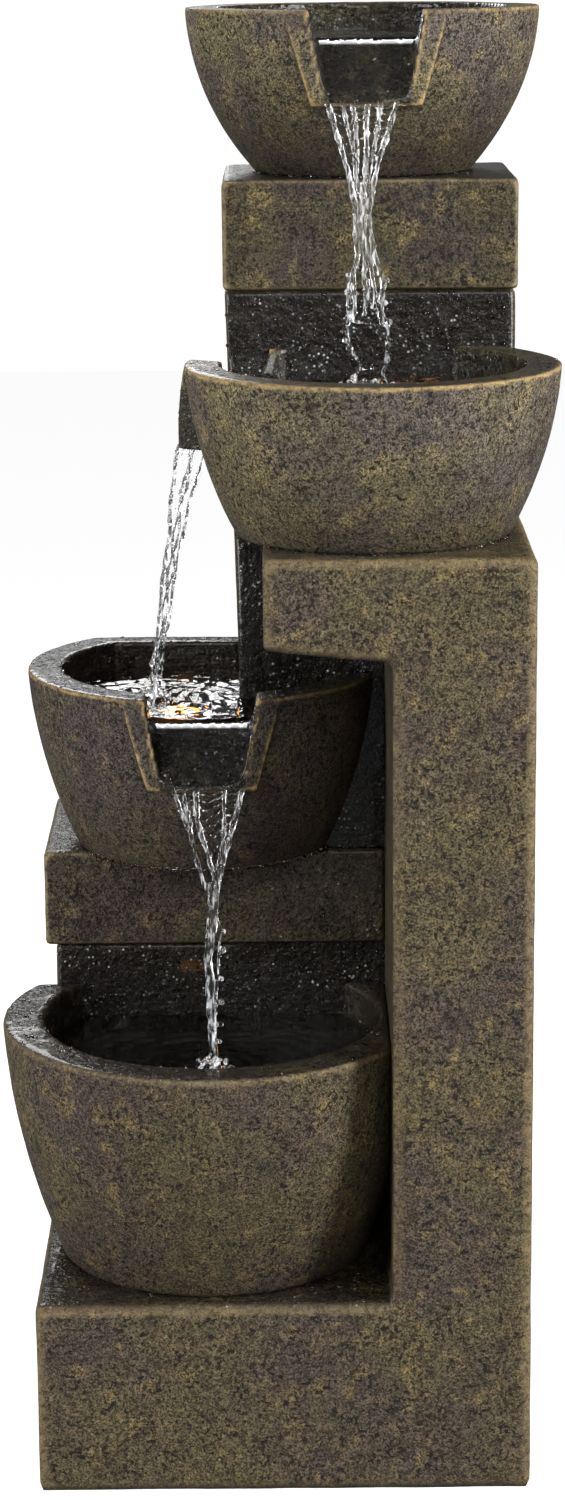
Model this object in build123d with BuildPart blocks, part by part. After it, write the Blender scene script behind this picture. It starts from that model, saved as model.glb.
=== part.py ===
from build123d import *
from math import cos, pi, radians, sin, tan
import os

# Tiered water fountain, in millimetres. +Z is up, +X is to the right and the front faces -Y.
# The origin is the middle of the space the fountain covers, at ground level.

# Overall size
overall_width = 397.0
overall_depth = 431.0
overall_height = 1020.0

# Frame: plinth, right-hand column and the arm that carries the second bowl
frame_left = -171.5
frame_right = 175.5
frame_front = -190.3
back_face = 165.7
plinth_height = 140.0
column_left = 79.1
arm_left = -7.5
arm_top = 668.0
arm_underside_left = 606.0
arm_underside_right = 597.5
frame_wall = 10.0

# Rear column, the chamber behind the basin and the two blocks
rear_front = 9.3
rear_wall = 9.0
rear_left = -26.0
rear_left_top = -33.8
rear_right = 172.6
chamber_left = -166.0
block_front = 2.2
block_wall = 10.0
block_top_thickness = 12.0
lower_block_bottom = 345.3
lower_block_top = 416.8
upper_block_left = -34.9
upper_block_right = 173.9
upper_block_bottom = 825.7
upper_block_top = 903.5

# Bowls
top_radius = 127.0
top_foot_radius = 77.0
top_x = 66.1
top_y = overall_depth / 2 - top_radius
middle_radius = 129.5
middle_foot_radius = 95.0
second_x = overall_width / 2 - middle_radius
second_y = -78.4
second_rim = 785.0
third_x = -52.5
third_y = 45.7
third_rim = 548.5
third_back = 143.7
basin_radius = 150.5
basin_foot_radius = 110.7
basin_x = basin_radius - overall_width / 2
basin_y = basin_radius - overall_depth / 2
basin_rim = 314.3
bowl_ring = 25.0
basin_ring = 30.0
bowl_floor = 18.0
basin_floor = 20.0

# Spouts, measured down from the rim and out from the bowl's middle
spout_face_height = 64.0
spout_top_width = 115.0
spout_bottom_width = 77.0
channel_top_width = 79.0
channel_bottom_width = 55.0
weir_depth = 20.5
lip_depth = 61.5
lip_overhang = 10.0
chute_run = 30.0
front_spout_angle = -90.0
second_spout_angle = 150.0

# Water supply
pump_x = top_x
pump_y = top_y
sump_floor = plinth_height + 10.0
pump_foot = sump_floor + 6.0
volute_radius = 21.0
volute_axis_z = pump_foot + 23.0
volute_start = pump_x - 14.0
volute_end = pump_x + 14.0
pump_wall = 2.5
rotor_radius = 9.0
shaft_radius = 1.5
hose_radius = 10.5
hose_bore = 8.0
hose_start = 206.0
hose_end = 878.0
lead_radius = 2.0

# Edges and passages through the castings
edge_radius = 3.0
corner_radius = 4.0
hollow_back_share = 0.85
intake_opening_x = 4.0
intake_opening_z = 190.0
intake_opening_width = 36.0
intake_opening_height = 44.0
arm_lead_hole = (120.0, 639.0)
arm_lead_hole_radius = 7.0
wall_lead_hole = (60.0, 325.0)
wall_lead_hole_radius = 5.0
inlet_hole_radius = 12.0
screw_hole_radius = 2.3
grommet_hole_radius = 8.0
stem_clearance = 0.3

# Lights
lens_radius = 10.0
light_flange_radius = 14.0
light_flange_height = 3.0
light_seal_height = 1.5
light_stem_radius = 7.0
second_light = (92.0, -28.0)
third_light = (-72.0, 72.0)
basin_light = (-68.5, -118.0)
basin_stand_height = 110.0

# Service door at the back
door_x = 76.0
door_bottom = 345.0
door_width = 100.0
door_height = 160.0
door_flange = 11.0
door_plate = 5.0
door_seal = 2.0
door_gap = 0.3
door_clearance = 1.5
grommet_x = 148.0
grommet_z = 325.0
grommet_bore = 3.9

os.makedirs("parts", exist_ok=True)


def front_plane(y):
    """Plane facing the front at depth y, with X to the right and Z upwards."""
    return Plane(origin=(0, y, 0), x_dir=(1, 0, 0), z_dir=(0, -1, 0))


def save(piece, name):
    """Label a finished piece and write its STEP file."""
    piece.part.label = name
    export_step(piece.part, "parts/" + name + ".step")


def bowl_section(x, y, foot_z, rim_z, radius, foot, ring, floor, belly=0.905, belly_height=0.45):
    """Half section of a round bowl: curved wall, flat rim and flat floor."""
    height = rim_z - foot_z
    belly_point = (belly * radius, belly_height * height)
    inner_mid = (belly * radius - 0.8 * ring, belly_height * height + floor / 4)
    plane = Plane(origin=(x, y, foot_z), x_dir=(1, 0, 0), z_dir=(0, -1, 0))
    with BuildSketch(plane) as section:
        with BuildLine():
            ThreePointArc((radius, height), belly_point, (foot, 0))
            Polyline((foot, 0), (0, 0), (0, floor), (foot - ring / 2, floor))
            ThreePointArc((foot - ring / 2, floor), inner_mid, (radius - ring, height))
            Line((radius - ring, height), (radius, height))
        make_face()
    return section.sketch


def inner_section(x, y, foot_z, rim_z, radius, foot, ring, floor, belly=0.905, belly_height=0.45):
    """Half section of the space inside a bowl."""
    height = rim_z - foot_z
    inner_mid = (belly * radius - 0.8 * ring, belly_height * height + floor / 4)
    plane = Plane(origin=(x, y, foot_z), x_dir=(1, 0, 0), z_dir=(0, -1, 0))
    with BuildSketch(plane) as section:
        with BuildLine():
            ThreePointArc((foot - ring / 2, floor), inner_mid, (radius - ring, height))
            Polyline((radius - ring, height), (0, height), (0, floor), (foot - ring / 2, floor))
        make_face()
    return section.sketch


def spout_axes(x, y, rim_z, angle):
    """Planes of a spout: its face looks outwards, its side shows the chute's slope."""
    outward = Vector(cos(radians(angle)), sin(radians(angle)), 0)
    sideways = Vector(0, 0, 1).cross(outward)
    face = Plane(origin=(x, y, rim_z), x_dir=sideways, z_dir=outward)
    side = Plane(origin=(x, y, rim_z), x_dir=outward, z_dir=outward.cross(Vector(0, 0, 1)))
    return face, side


def keystone(plane, top_width, bottom_width, top, bottom):
    """Wedge-shaped face of a spout, wider at the top."""
    with BuildSketch(plane) as face:
        with BuildLine():
            Polyline((-top_width / 2, top), (top_width / 2, top), (bottom_width / 2, bottom),
                     (-bottom_width / 2, bottom), close=True)
        make_face()
    return face.sketch


def spout_body(x, y, rim_z, radius, angle):
    """Keystone body of a spout, curved with the bowl and flared towards the lip."""
    face, side = spout_axes(x, y, rim_z, angle)
    with BuildPart() as body:
        with BuildSketch(side):
            with BuildLine():
                ThreePointArc((radius, 0), (radius + 0.7 * lip_overhang, -0.5 * spout_face_height),
                              (radius + lip_overhang, -spout_face_height))
                Polyline((radius + lip_overhang, -spout_face_height), (radius - 30, -spout_face_height),
                         (radius - 22, 0), (radius, 0))
            make_face()
        revolve(axis=Axis((x, y, 0), (0, 0, 1)))
        extrude(keystone(face, spout_top_width, spout_bottom_width, 0, -spout_face_height),
                amount=radius + 30, mode=Mode.INTERSECT)
    return body.part


def spout_channel(x, y, rim_z, radius, angle):
    """Space the water runs through: over the weir and down the chute to the lip."""
    face, side = spout_axes(x, y, rim_z, angle)
    reach = radius + 40
    with BuildPart() as channel:
        with BuildSketch(side):
            with BuildLine():
                Polyline((radius - 60, 5), (reach, 5), (reach, -lip_depth),
                         (radius + lip_overhang, -lip_depth),
                         (radius + lip_overhang - chute_run, -weir_depth),
                         (radius - 60, -weir_depth), close=True)
            make_face()
        extrude(amount=spout_top_width, both=True)
        slope = (channel_top_width - channel_bottom_width) / lip_depth
        extrude(keystone(face, channel_top_width + 5 * slope, channel_bottom_width, 5, -lip_depth),
                amount=reach, mode=Mode.INTERSECT)
    return channel.part


# Frame casting: a hollow shell, open underneath and at the back of the column and arm.
def frame_outline(inset):
    """Outline of the frame seen from the front, moved inwards by the inset."""
    with BuildSketch(front_plane(frame_front + inset)) as outline:
        with BuildLine():
            Polyline((frame_left, 0), (frame_right, 0), (frame_right, arm_top), (arm_left, arm_top),
                     (arm_left, arm_underside_left), (column_left, arm_underside_right),
                     (column_left, plinth_height), (frame_left, plinth_height), close=True)
        make_face()
        if inset > 0:
            offset(amount=-inset, mode=Mode.REPLACE)
        else:
            fillet(outline.vertices().filter_by(lambda corner: corner.Z > 1), radius=corner_radius)
    return outline.sketch


with BuildPart() as frame_casting:
    extrude(frame_outline(0), amount=frame_front - rear_front)
    front_edges = frame_casting.faces().sort_by(Axis.Y)[0].edges().filter_by(lambda edge: edge.center().Z > 1)
    fillet(front_edges, radius=edge_radius)
    with BuildSketch(Plane.XY):
        with Locations(((frame_left + frame_right) / 2, (rear_front + back_face) / 2)):
            Rectangle(frame_right - frame_left, back_face - rear_front)
    extrude(amount=plinth_height)
    extrude(frame_outline(frame_wall), amount=frame_front + frame_wall - rear_front, mode=Mode.SUBTRACT)
    with BuildSketch(Plane.XY):
        with Locations(((frame_left + frame_right) / 2, (frame_front + back_face) / 2)):
            Rectangle(frame_right - frame_left - 2 * frame_wall, back_face - frame_front - 2 * frame_wall)
    extrude(amount=plinth_height - frame_wall, mode=Mode.SUBTRACT)
    with Locations((second_light[0], second_light[1], arm_top)):
        Hole(radius=light_stem_radius + stem_clearance, depth=2 * frame_wall)
save(frame_casting, "frame_casting")


# Rear column: a tall hollow casting whose foot is the pump sump.
def rear_outline(inset, bottom, top):
    """Outline of the rear column seen from the front, leaning out slightly above the third bowl."""
    plane = front_plane(rear_front + inset)
    with BuildSketch(plane) as outline:
        with BuildLine():
            Polyline((rear_left + inset, bottom), (rear_right - inset, bottom), (rear_right - inset, top),
                     (rear_left_top + inset, top), (rear_left + inset, third_rim), close=True)
        make_face()
    return outline.sketch


with BuildPart() as rear_column:
    extrude(rear_outline(0, plinth_height, upper_block_bottom), amount=rear_front - back_face)
    extrude(rear_outline(rear_wall, sump_floor, upper_block_bottom + 1),
            amount=rear_front - back_face + 2 * rear_wall, mode=Mode.SUBTRACT)
    with BuildSketch(front_plane(rear_front - 1)):
        with Locations((intake_opening_x, intake_opening_z)):
            RectangleRounded(intake_opening_width, intake_opening_height, 2 * edge_radius)
    extrude(amount=-rear_wall - 2, mode=Mode.SUBTRACT)
    with BuildSketch(front_plane(rear_front - 1)):
        with Locations(arm_lead_hole):
            Circle(arm_lead_hole_radius)
    extrude(amount=-rear_wall - 2, mode=Mode.SUBTRACT)
    with BuildSketch(front_plane(back_face + 1)):
        with Locations((door_x, door_bottom + door_height / 2)):
            RectangleRounded(door_width, door_height, 8)
            with GridLocations(door_width + door_flange, door_height + door_flange, 2, 2):
                Circle(screw_hole_radius)
        with Locations((grommet_x, grommet_z)):
            Circle(grommet_hole_radius)
    extrude(amount=rear_wall + 2, mode=Mode.SUBTRACT)
    with BuildSketch(Plane(origin=(rear_left - 1, 0, 0), x_dir=(0, 1, 0), z_dir=(1, 0, 0))):
        with Locations(wall_lead_hole):
            Circle(wall_lead_hole_radius)
    extrude(amount=rear_wall + 2, mode=Mode.SUBTRACT)
save(rear_column, "rear_column")

# Basin back: the hollow casting that closes the left half of the basin and carries the lower block.
with BuildPart() as basin_back:
    with BuildSketch(Plane.XY.offset(plinth_height)):
        with Locations(((chamber_left + rear_left) / 2, (rear_front + back_face) / 2)):
            Rectangle(rear_left - chamber_left, back_face - rear_front)
            Rectangle(rear_left - chamber_left - 2 * rear_wall, back_face - rear_front - 2 * rear_wall,
                      mode=Mode.SUBTRACT)
    extrude(amount=lower_block_bottom - plinth_height)
    with BuildSketch(Plane(origin=(rear_left + 1, 0, 0), x_dir=(0, 1, 0), z_dir=(1, 0, 0))):
        with Locations(wall_lead_hole):
            Circle(wall_lead_hole_radius)
    extrude(amount=-rear_wall - 2, mode=Mode.SUBTRACT)
save(basin_back, "basin_back")

# Lower block: a cap that fits round the rear column, open underneath.
with BuildPart() as lower_block:
    with BuildSketch(Plane.XY.offset(lower_block_bottom)):
        with Locations(((frame_left + column_left) / 2, (block_front + back_face) / 2)):
            Rectangle(column_left - frame_left, back_face - block_front)
    extrude(amount=lower_block_top - lower_block_bottom)
    top_left_edge = lower_block.faces().sort_by(Axis.X)[0].edges().filter_by(Axis.Y).sort_by(Axis.Z)[-1:]
    fillet(lower_block.faces().sort_by(Axis.Y)[0].edges() + top_left_edge, radius=edge_radius)
    with BuildSketch(Plane.XY.offset(lower_block_bottom)):
        with Locations(((rear_left + column_left) / 2 + 1, (rear_front + back_face) / 2 + 1)):
            Rectangle(column_left - rear_left + 2, back_face - rear_front + 2)
    extrude(amount=lower_block_top - lower_block_bottom, mode=Mode.SUBTRACT)
    with BuildSketch(Plane.XY.offset(lower_block_bottom)):
        with Locations(((frame_left + rear_left) / 2, (rear_front + back_face) / 2)):
            Rectangle(rear_left - frame_left - 2 * block_wall, back_face - rear_front - 2 * block_wall)
    extrude(amount=lower_block_top - lower_block_bottom - block_top_thickness, mode=Mode.SUBTRACT)
    with Locations((third_light[0], third_light[1], lower_block_top)):
        Hole(radius=light_stem_radius + stem_clearance, depth=2 * block_top_thickness)
save(lower_block, "lower_block")

# Upper block: a cap on the rear column that carries the top bowl.
with BuildPart() as upper_block:
    block_middle = ((upper_block_left + upper_block_right) / 2, (block_front + back_face) / 2)
    with BuildSketch(Plane.XY.offset(upper_block_bottom)):
        with Locations(block_middle):
            Rectangle(upper_block_right - upper_block_left, back_face - block_front)
    extrude(amount=upper_block_top - upper_block_bottom)
    top_side_edges = upper_block.faces().sort_by(Axis.Z)[-1].edges().filter_by(Axis.Y)
    fillet(upper_block.faces().sort_by(Axis.Y)[0].edges() + top_side_edges, radius=edge_radius)
    with BuildSketch(Plane.XY.offset(upper_block_bottom)):
        with Locations(block_middle):
            Rectangle(upper_block_right - upper_block_left - 2 * block_wall,
                      back_face - block_front - 2 * block_wall)
    extrude(amount=upper_block_top - upper_block_bottom - block_top_thickness, mode=Mode.SUBTRACT)
    with Locations((top_x, top_y, upper_block_top)):
        Hole(radius=inlet_hole_radius, depth=2 * block_top_thickness)
save(upper_block, "upper_block")

# Top bowl
with BuildPart() as top_bowl:
    revolve(bowl_section(top_x, top_y, upper_block_top, overall_height, top_radius, top_foot_radius,
                         bowl_ring, bowl_floor, belly=0.871, belly_height=0.43),
            axis=Axis((top_x, top_y, 0), (0, 0, 1)))
    add(spout_body(top_x, top_y, overall_height, top_radius, front_spout_angle))
    add(spout_channel(top_x, top_y, overall_height, top_radius, front_spout_angle), mode=Mode.SUBTRACT)
    with Locations((top_x, top_y, upper_block_top + bowl_floor)):
        Hole(radius=inlet_hole_radius, depth=2 * bowl_floor)
save(top_bowl, "top_bowl")

# Second bowl: cut off at the back by the face of the rear column.
with BuildPart() as second_bowl:
    revolve(bowl_section(second_x, second_y, arm_top, second_rim, middle_radius, middle_foot_radius,
                         bowl_ring, bowl_floor),
            axis=Axis((second_x, second_y, 0), (0, 0, 1)))
    add(spout_body(second_x, second_y, second_rim, middle_radius, second_spout_angle))
    add(spout_channel(second_x, second_y, second_rim, middle_radius, second_spout_angle), mode=Mode.SUBTRACT)
    with BuildSketch(front_plane(rear_front)):
        with Locations((rear_left_top + 200, arm_top + 60)):
            Rectangle(400, 400)
    extrude(amount=-100, mode=Mode.SUBTRACT)
    with Locations((second_light[0], second_light[1], arm_top + bowl_floor)):
        Hole(radius=light_stem_radius + stem_clearance, depth=2 * bowl_floor)
save(second_bowl, "second_bowl")

# Third bowl: flat at the back, with the rear column standing in its right-hand rear quarter.
third_sizes = (third_x, third_y, lower_block_top, third_rim, middle_radius, middle_foot_radius,
               bowl_ring, bowl_floor)
with BuildPart() as third_hollow:
    revolve(inner_section(*third_sizes), axis=Axis((third_x, third_y, 0), (0, 0, 1)))
    with BuildSketch(front_plane(third_back - hollow_back_share * bowl_ring)):
        with Locations((third_x, third_rim)):
            Rectangle(400, 400)
    extrude(amount=-100, mode=Mode.SUBTRACT)
with BuildPart() as third_bowl:
    revolve(bowl_section(*third_sizes), axis=Axis((third_x, third_y, 0), (0, 0, 1)))
    revolve(inner_section(*third_sizes), axis=Axis((third_x, third_y, 0), (0, 0, 1)))
    with BuildSketch(front_plane(third_back)):
        with Locations((third_x, third_rim)):
            Rectangle(400, 400)
    extrude(amount=-100, mode=Mode.SUBTRACT)
    add(third_hollow.part, mode=Mode.SUBTRACT)
    add(spout_body(third_x, third_y, third_rim, middle_radius, front_spout_angle))
    add(spout_channel(third_x, third_y, third_rim, middle_radius, front_spout_angle), mode=Mode.SUBTRACT)
    with BuildSketch(front_plane(rear_front)):
        with Locations((rear_left + 100, third_rim)):
            Rectangle(200, 400)
    extrude(amount=-200, mode=Mode.SUBTRACT)
    with Locations((third_light[0], third_light[1], lower_block_top + bowl_floor)):
        Hole(radius=light_stem_radius + stem_clearance, depth=2 * bowl_floor)
save(third_bowl, "third_bowl")

# Bottom basin: closed at the back by the rear castings and on the right by the frame's column.
with BuildPart() as bottom_basin:
    revolve(bowl_section(basin_x, basin_y, plinth_height, basin_rim, basin_radius, basin_foot_radius,
                         basin_ring, basin_floor),
            axis=Axis((basin_x, basin_y, 0), (0, 0, 1)))
    with BuildSketch(front_plane(rear_front)):
        with Locations((basin_x, basin_rim)):
            Rectangle(400, 500)
    extrude(amount=-200, mode=Mode.SUBTRACT)
    with BuildSketch(Plane.YZ.offset(column_left)):
        with Locations((basin_y, basin_rim)):
            Rectangle(400, 500)
    extrude(amount=100, mode=Mode.SUBTRACT)
save(bottom_basin, "bottom_basin")


# Service door: a plug panel with a pull rib, a flat seal and four screws.
def back_plane(y):
    """Plane facing backwards at depth y, centred on the service door, with Z upwards."""
    return Plane(origin=(door_x, y, door_bottom + door_height / 2), x_dir=(-1, 0, 0), z_dir=(0, 1, 0))


panel_width = door_width + 2 * door_flange
panel_height = door_height + 2 * door_flange
screw_pitch = (door_width + door_flange, door_height + door_flange)
seal_face = back_face + door_seal
panel_face = seal_face + door_plate
with BuildPart() as service_door:
    with BuildSketch(back_plane(seal_face)):
        RectangleRounded(panel_width, panel_height, 10)
    extrude(amount=door_plate)
    with BuildSketch(back_plane(seal_face)):
        RectangleRounded(door_width - 2 * door_clearance, door_height - 2 * door_clearance, 7)
        RectangleRounded(door_width - 2 * door_clearance - 6, door_height - 2 * door_clearance - 6, 4,
                         mode=Mode.SUBTRACT)
    extrude(amount=-(door_seal + rear_wall))
    with BuildSketch(back_plane(panel_face)):
        with Locations((0, door_height / 2 - 22)):
            SlotOverall(46, 9)
    extrude(amount=9)
    fillet(service_door.faces().sort_by(Axis.Y)[-1].edges(), radius=1.5)
    with BuildSketch(back_plane(panel_face)):
        with GridLocations(screw_pitch[0], screw_pitch[1], 2, 2):
            Circle(2.3)
    extrude(amount=-door_plate, mode=Mode.SUBTRACT)
save(service_door, "service_door")

with BuildPart() as door_gasket:
    with BuildSketch(back_plane(back_face + door_gap)):
        RectangleRounded(panel_width, panel_height, 10)
        RectangleRounded(door_width + 2, door_height + 2, 8, mode=Mode.SUBTRACT)
        with GridLocations(screw_pitch[0], screw_pitch[1], 2, 2):
            Circle(2.3, mode=Mode.SUBTRACT)
    extrude(amount=door_seal - door_gap)
save(door_gasket, "door_seal")

with BuildPart() as door_screws:
    with BuildSketch(back_plane(panel_face)):
        with GridLocations(screw_pitch[0], screw_pitch[1], 2, 2):
            Circle(4.5)
    extrude(amount=2.6)
    fillet(door_screws.faces().filter_by(Axis.Y).sort_by(Axis.Y)[-4:].edges(), radius=1.2)
    with BuildSketch(back_plane(panel_face + 2.6)):
        with GridLocations(screw_pitch[0], screw_pitch[1], 2, 2):
            Rectangle(5, 1.1)
            Rectangle(1.1, 5)
    extrude(amount=-1.4, mode=Mode.SUBTRACT)
    with BuildSketch(back_plane(panel_face)):
        with GridLocations(screw_pitch[0], screw_pitch[1], 2, 2):
            Circle(2)
    extrude(amount=-14)
save(door_screws, "door_screws")

# Rubber grommet where the mains cord leaves the rear column.
with BuildPart() as cord_grommet:
    with BuildSketch(Plane(origin=(grommet_x, 0, grommet_z), x_dir=(1, 0, 0), z_dir=(0, 0, 1))):
        with BuildLine():
            Polyline((grommet_bore, back_face - rear_wall - 2), (grommet_bore, back_face + 2),
                     (11, back_face + 2), (11, back_face), (8, back_face), (8, back_face - rear_wall),
                     (11, back_face - rear_wall), (11, back_face - rear_wall - 2), close=True)
        make_face()
    revolve(axis=Axis((grommet_x, 0, grommet_z), (0, 1, 0)))
save(cord_grommet, "cord_grommet")

# Pump: a wet-rotor pump lying along X, standing on four suction cups in the sump.
pump_end = volute_end + 52
cover_length = 30.0
body_half_width = 24.0
body_height = 46.0
rotor_bore = 10.0
rotor_start = volute_end + 3
rotor_end = volute_end + 33
inlet_radius = 8.0
running_gap = 0.05
outlet_radius = 8.0
outlet_bore = 6.0
outlet_top = 224.0


def pump_plane(x):
    """Plane across the pump's axis at x, with Y to the right and Z upwards."""
    return Plane(origin=(x, pump_y, volute_axis_z), x_dir=(0, 1, 0), z_dir=(1, 0, 0))


with BuildPart() as pump_housing:
    with BuildSketch(pump_plane(volute_end)):
        RectangleRounded(2 * body_half_width, body_height, 7)
    extrude(amount=pump_end - volute_end)
    fillet(pump_housing.faces().sort_by(Axis.X)[-1].edges(), radius=4)
    with BuildSketch(Plane.XY.offset(pump_foot)):
        with Locations(((volute_start + pump_end) / 2, pump_y)):
            RectangleRounded(pump_end - volute_start, 2 * body_half_width, 5)
    extrude(amount=2)
    with BuildSketch(pump_plane(volute_end)):
        Circle(rotor_bore)
    extrude(amount=rotor_end - volute_end + 1, mode=Mode.SUBTRACT)
    with BuildSketch(pump_plane(rotor_end + 1)):
        Circle(5)
    extrude(amount=4, mode=Mode.SUBTRACT)
    with BuildSketch(pump_plane(pump_end - 6)):
        with Locations((0, 12)):
            Circle(lead_radius)
    extrude(amount=6, mode=Mode.SUBTRACT)
save(pump_housing, "pump_housing")

with BuildPart() as volute:
    with BuildSketch(pump_plane(volute_start)):
        Circle(volute_radius)
    extrude(amount=volute_end - volute_start)
    with BuildSketch(Plane(origin=(pump_x, pump_y, volute_axis_z))):
        Circle(outlet_radius)
    extrude(amount=outlet_top - volute_axis_z)
    with BuildSketch(pump_plane(volute_start + pump_wall)):
        Circle(volute_radius - 4)
    extrude(amount=volute_end - volute_start - pump_wall, mode=Mode.SUBTRACT)
    with BuildSketch(Plane(origin=(pump_x, pump_y, volute_axis_z))):
        Circle(outlet_bore)
    extrude(amount=outlet_top - volute_axis_z, mode=Mode.SUBTRACT)
    with BuildSketch(pump_plane(volute_start)):
        Circle(inlet_radius)
        Rectangle(2 * inlet_radius, 3, mode=Mode.SUBTRACT)
        Circle(4, mode=Mode.SUBTRACT)
    extrude(amount=pump_wall, mode=Mode.SUBTRACT)
save(volute, "volute")

with BuildPart() as impeller:
    with BuildSketch(pump_plane(volute_start + 6)):
        Circle(4)
    extrude(amount=rotor_end - volute_start - 6)
    with BuildSketch(pump_plane(volute_end - 8)):
        Circle(13.5)
    extrude(amount=3)
    with BuildSketch(pump_plane(volute_start + 8)):
        with PolarLocations(8.5, 6):
            Rectangle(10, 2)
    extrude(amount=volute_end - volute_start - 16)
    with BuildSketch(pump_plane(volute_start)):
        Circle(shaft_radius + running_gap)
    extrude(amount=rotor_end - volute_start, mode=Mode.SUBTRACT)
save(impeller, "impeller")

with BuildPart() as rotor_magnet:
    with BuildSketch(pump_plane(rotor_start)):
        Circle(rotor_radius)
        Circle(4, mode=Mode.SUBTRACT)
    extrude(amount=rotor_end - rotor_start - 2)
    chamfer(rotor_magnet.edges().filter_by(GeomType.CIRCLE).sort_by(SortBy.RADIUS)[-2:], length=0.8)
save(rotor_magnet, "rotor_magnet")

shaft_start = volute_start + pump_wall
shaft_end = rotor_end + 5
with BuildPart() as impeller_shaft:
    with BuildSketch(pump_plane(shaft_start)):
        Circle(shaft_radius)
    extrude(amount=shaft_end - shaft_start)
save(impeller_shaft, "impeller_shaft")

with BuildPart() as shaft_bushes:
    for start, length, radius in ((shaft_start, 3, 3.2), (rotor_end + 1, 4, 5)):
        with BuildSketch(pump_plane(start)):
            Circle(radius)
            Circle(shaft_radius, mode=Mode.SUBTRACT)
        extrude(amount=length)
save(shaft_bushes, "shaft_bushes")

# Intake cover: a slotted box over the inlet that pulls off the pump's nose.
cover_start = volute_start - cover_length
with BuildPart() as intake_cover:
    with BuildSketch(pump_plane(cover_start)):
        RectangleRounded(2 * body_half_width, body_height, 7)
    extrude(amount=cover_length - 0.4)
    fillet(intake_cover.faces().sort_by(Axis.X)[0].edges(), radius=3)
    with BuildSketch(pump_plane(cover_start + pump_wall)):
        RectangleRounded(2 * body_half_width - 2 * pump_wall, body_height - 2 * pump_wall, 5)
    extrude(amount=cover_length, mode=Mode.SUBTRACT)
    with BuildSketch(pump_plane(cover_start)):
        with GridLocations(0, 5, 1, 3):
            with Locations((0, -12)):
                SlotOverall(34, 2.2)
        with Locations((0, 10)):
            Circle(2 + running_gap)
        with Locations((-14, 10), (14, 10)):
            RectangleRounded(9, 14, 2)
    extrude(amount=pump_wall, mode=Mode.SUBTRACT)
save(intake_cover, "intake_cover")

dial_plane_x = cover_start - 0.4
with BuildPart() as flow_dial:
    with BuildSketch(pump_plane(dial_plane_x)):
        with Locations((0, 10)):
            Circle(8)
    extrude(amount=-3)
    with BuildSketch(pump_plane(dial_plane_x - 3)):
        with Locations((0, 10)):
            SlotOverall(13, 3, rotation=90)
    extrude(amount=-3)
    with BuildSketch(pump_plane(dial_plane_x)):
        with Locations((0, 10)):
            Circle(2)
    extrude(amount=9)
    with BuildSketch(pump_plane(dial_plane_x + 5)):
        with Locations((0, 10)):
            Circle(4)
    extrude(amount=2)
save(flow_dial, "flow_dial")

with BuildPart() as suction_cups:
    for cup_x in (volute_start + 8, pump_end - 10):
        for cup_y in (pump_y - 16, pump_y + 16):
            with BuildSketch(Plane(origin=(cup_x, cup_y, 0), x_dir=(1, 0, 0), z_dir=(0, -1, 0))):
                with BuildLine():
                    Polyline((0, pump_foot), (0, sump_floor + 2), (7.2, sump_floor), (8, sump_floor),
                             (3, pump_foot - 1.5), (3, pump_foot), close=True)
                make_face()
            revolve(axis=Axis((cup_x, cup_y, 0), (0, 0, 1)))
save(suction_cups, "suction_cups")

# Riser hose with its two clips, and the inlet fitting in the floor of the top bowl.
with BuildPart() as riser_hose:
    with BuildSketch(Plane(origin=(pump_x, pump_y, hose_start))):
        Circle(hose_radius)
        Circle(hose_bore, mode=Mode.SUBTRACT)
    extrude(amount=hose_end - hose_start)
save(riser_hose, "riser_hose")

clip_width = 8.0
with BuildPart() as hose_clips:
    for clip_z in (hose_start + 4, hose_end - 4 - clip_width):
        with BuildSketch(Plane(origin=(pump_x, pump_y, clip_z))):
            Circle(hose_radius + 1.2)
            with Locations((hose_radius + 3.5, 0)):
                Rectangle(7, 9)
            Circle(hose_radius, mode=Mode.SUBTRACT)
        extrude(amount=clip_width)
save(hose_clips, "hose_clips")

top_floor = upper_block_top + bowl_floor
plate_underside = upper_block_top - block_top_thickness
inlet_stem_radius = 11.0
inlet_flange_radius = 20.0
washer_thickness = 2.0
with BuildPart() as bowl_inlet:
    with BuildSketch(Plane(origin=(pump_x, pump_y, 0), x_dir=(1, 0, 0), z_dir=(0, -1, 0))):
        with BuildLine():
            Polyline((outlet_bore, 852), (outlet_radius, 852), (outlet_radius, 879), (inlet_stem_radius, 879),
                     (inlet_stem_radius, top_floor + washer_thickness),
                     (inlet_flange_radius, top_floor + washer_thickness),
                     (inlet_flange_radius, top_floor + 5), (9, top_floor + 6), (9, top_floor + 34),
                     (outlet_bore, top_floor + 34), close=True)
        make_face()
    revolve(axis=Axis((pump_x, pump_y, 0), (0, 0, 1)))
save(bowl_inlet, "bowl_inlet")

with BuildPart() as inlet_washer:
    with BuildSketch(Plane(origin=(pump_x, pump_y, top_floor))):
        Circle(inlet_flange_radius)
        Circle(inlet_stem_radius, mode=Mode.SUBTRACT)
    extrude(amount=washer_thickness)
save(inlet_washer, "inlet_washer")

with BuildPart() as inlet_nut:
    with BuildSketch(Plane(origin=(pump_x, pump_y, plate_underside))):
        RegularPolygon(19, 6)
        Circle(inlet_stem_radius, mode=Mode.SUBTRACT)
    extrude(amount=-9)
save(inlet_nut, "inlet_nut")


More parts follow.
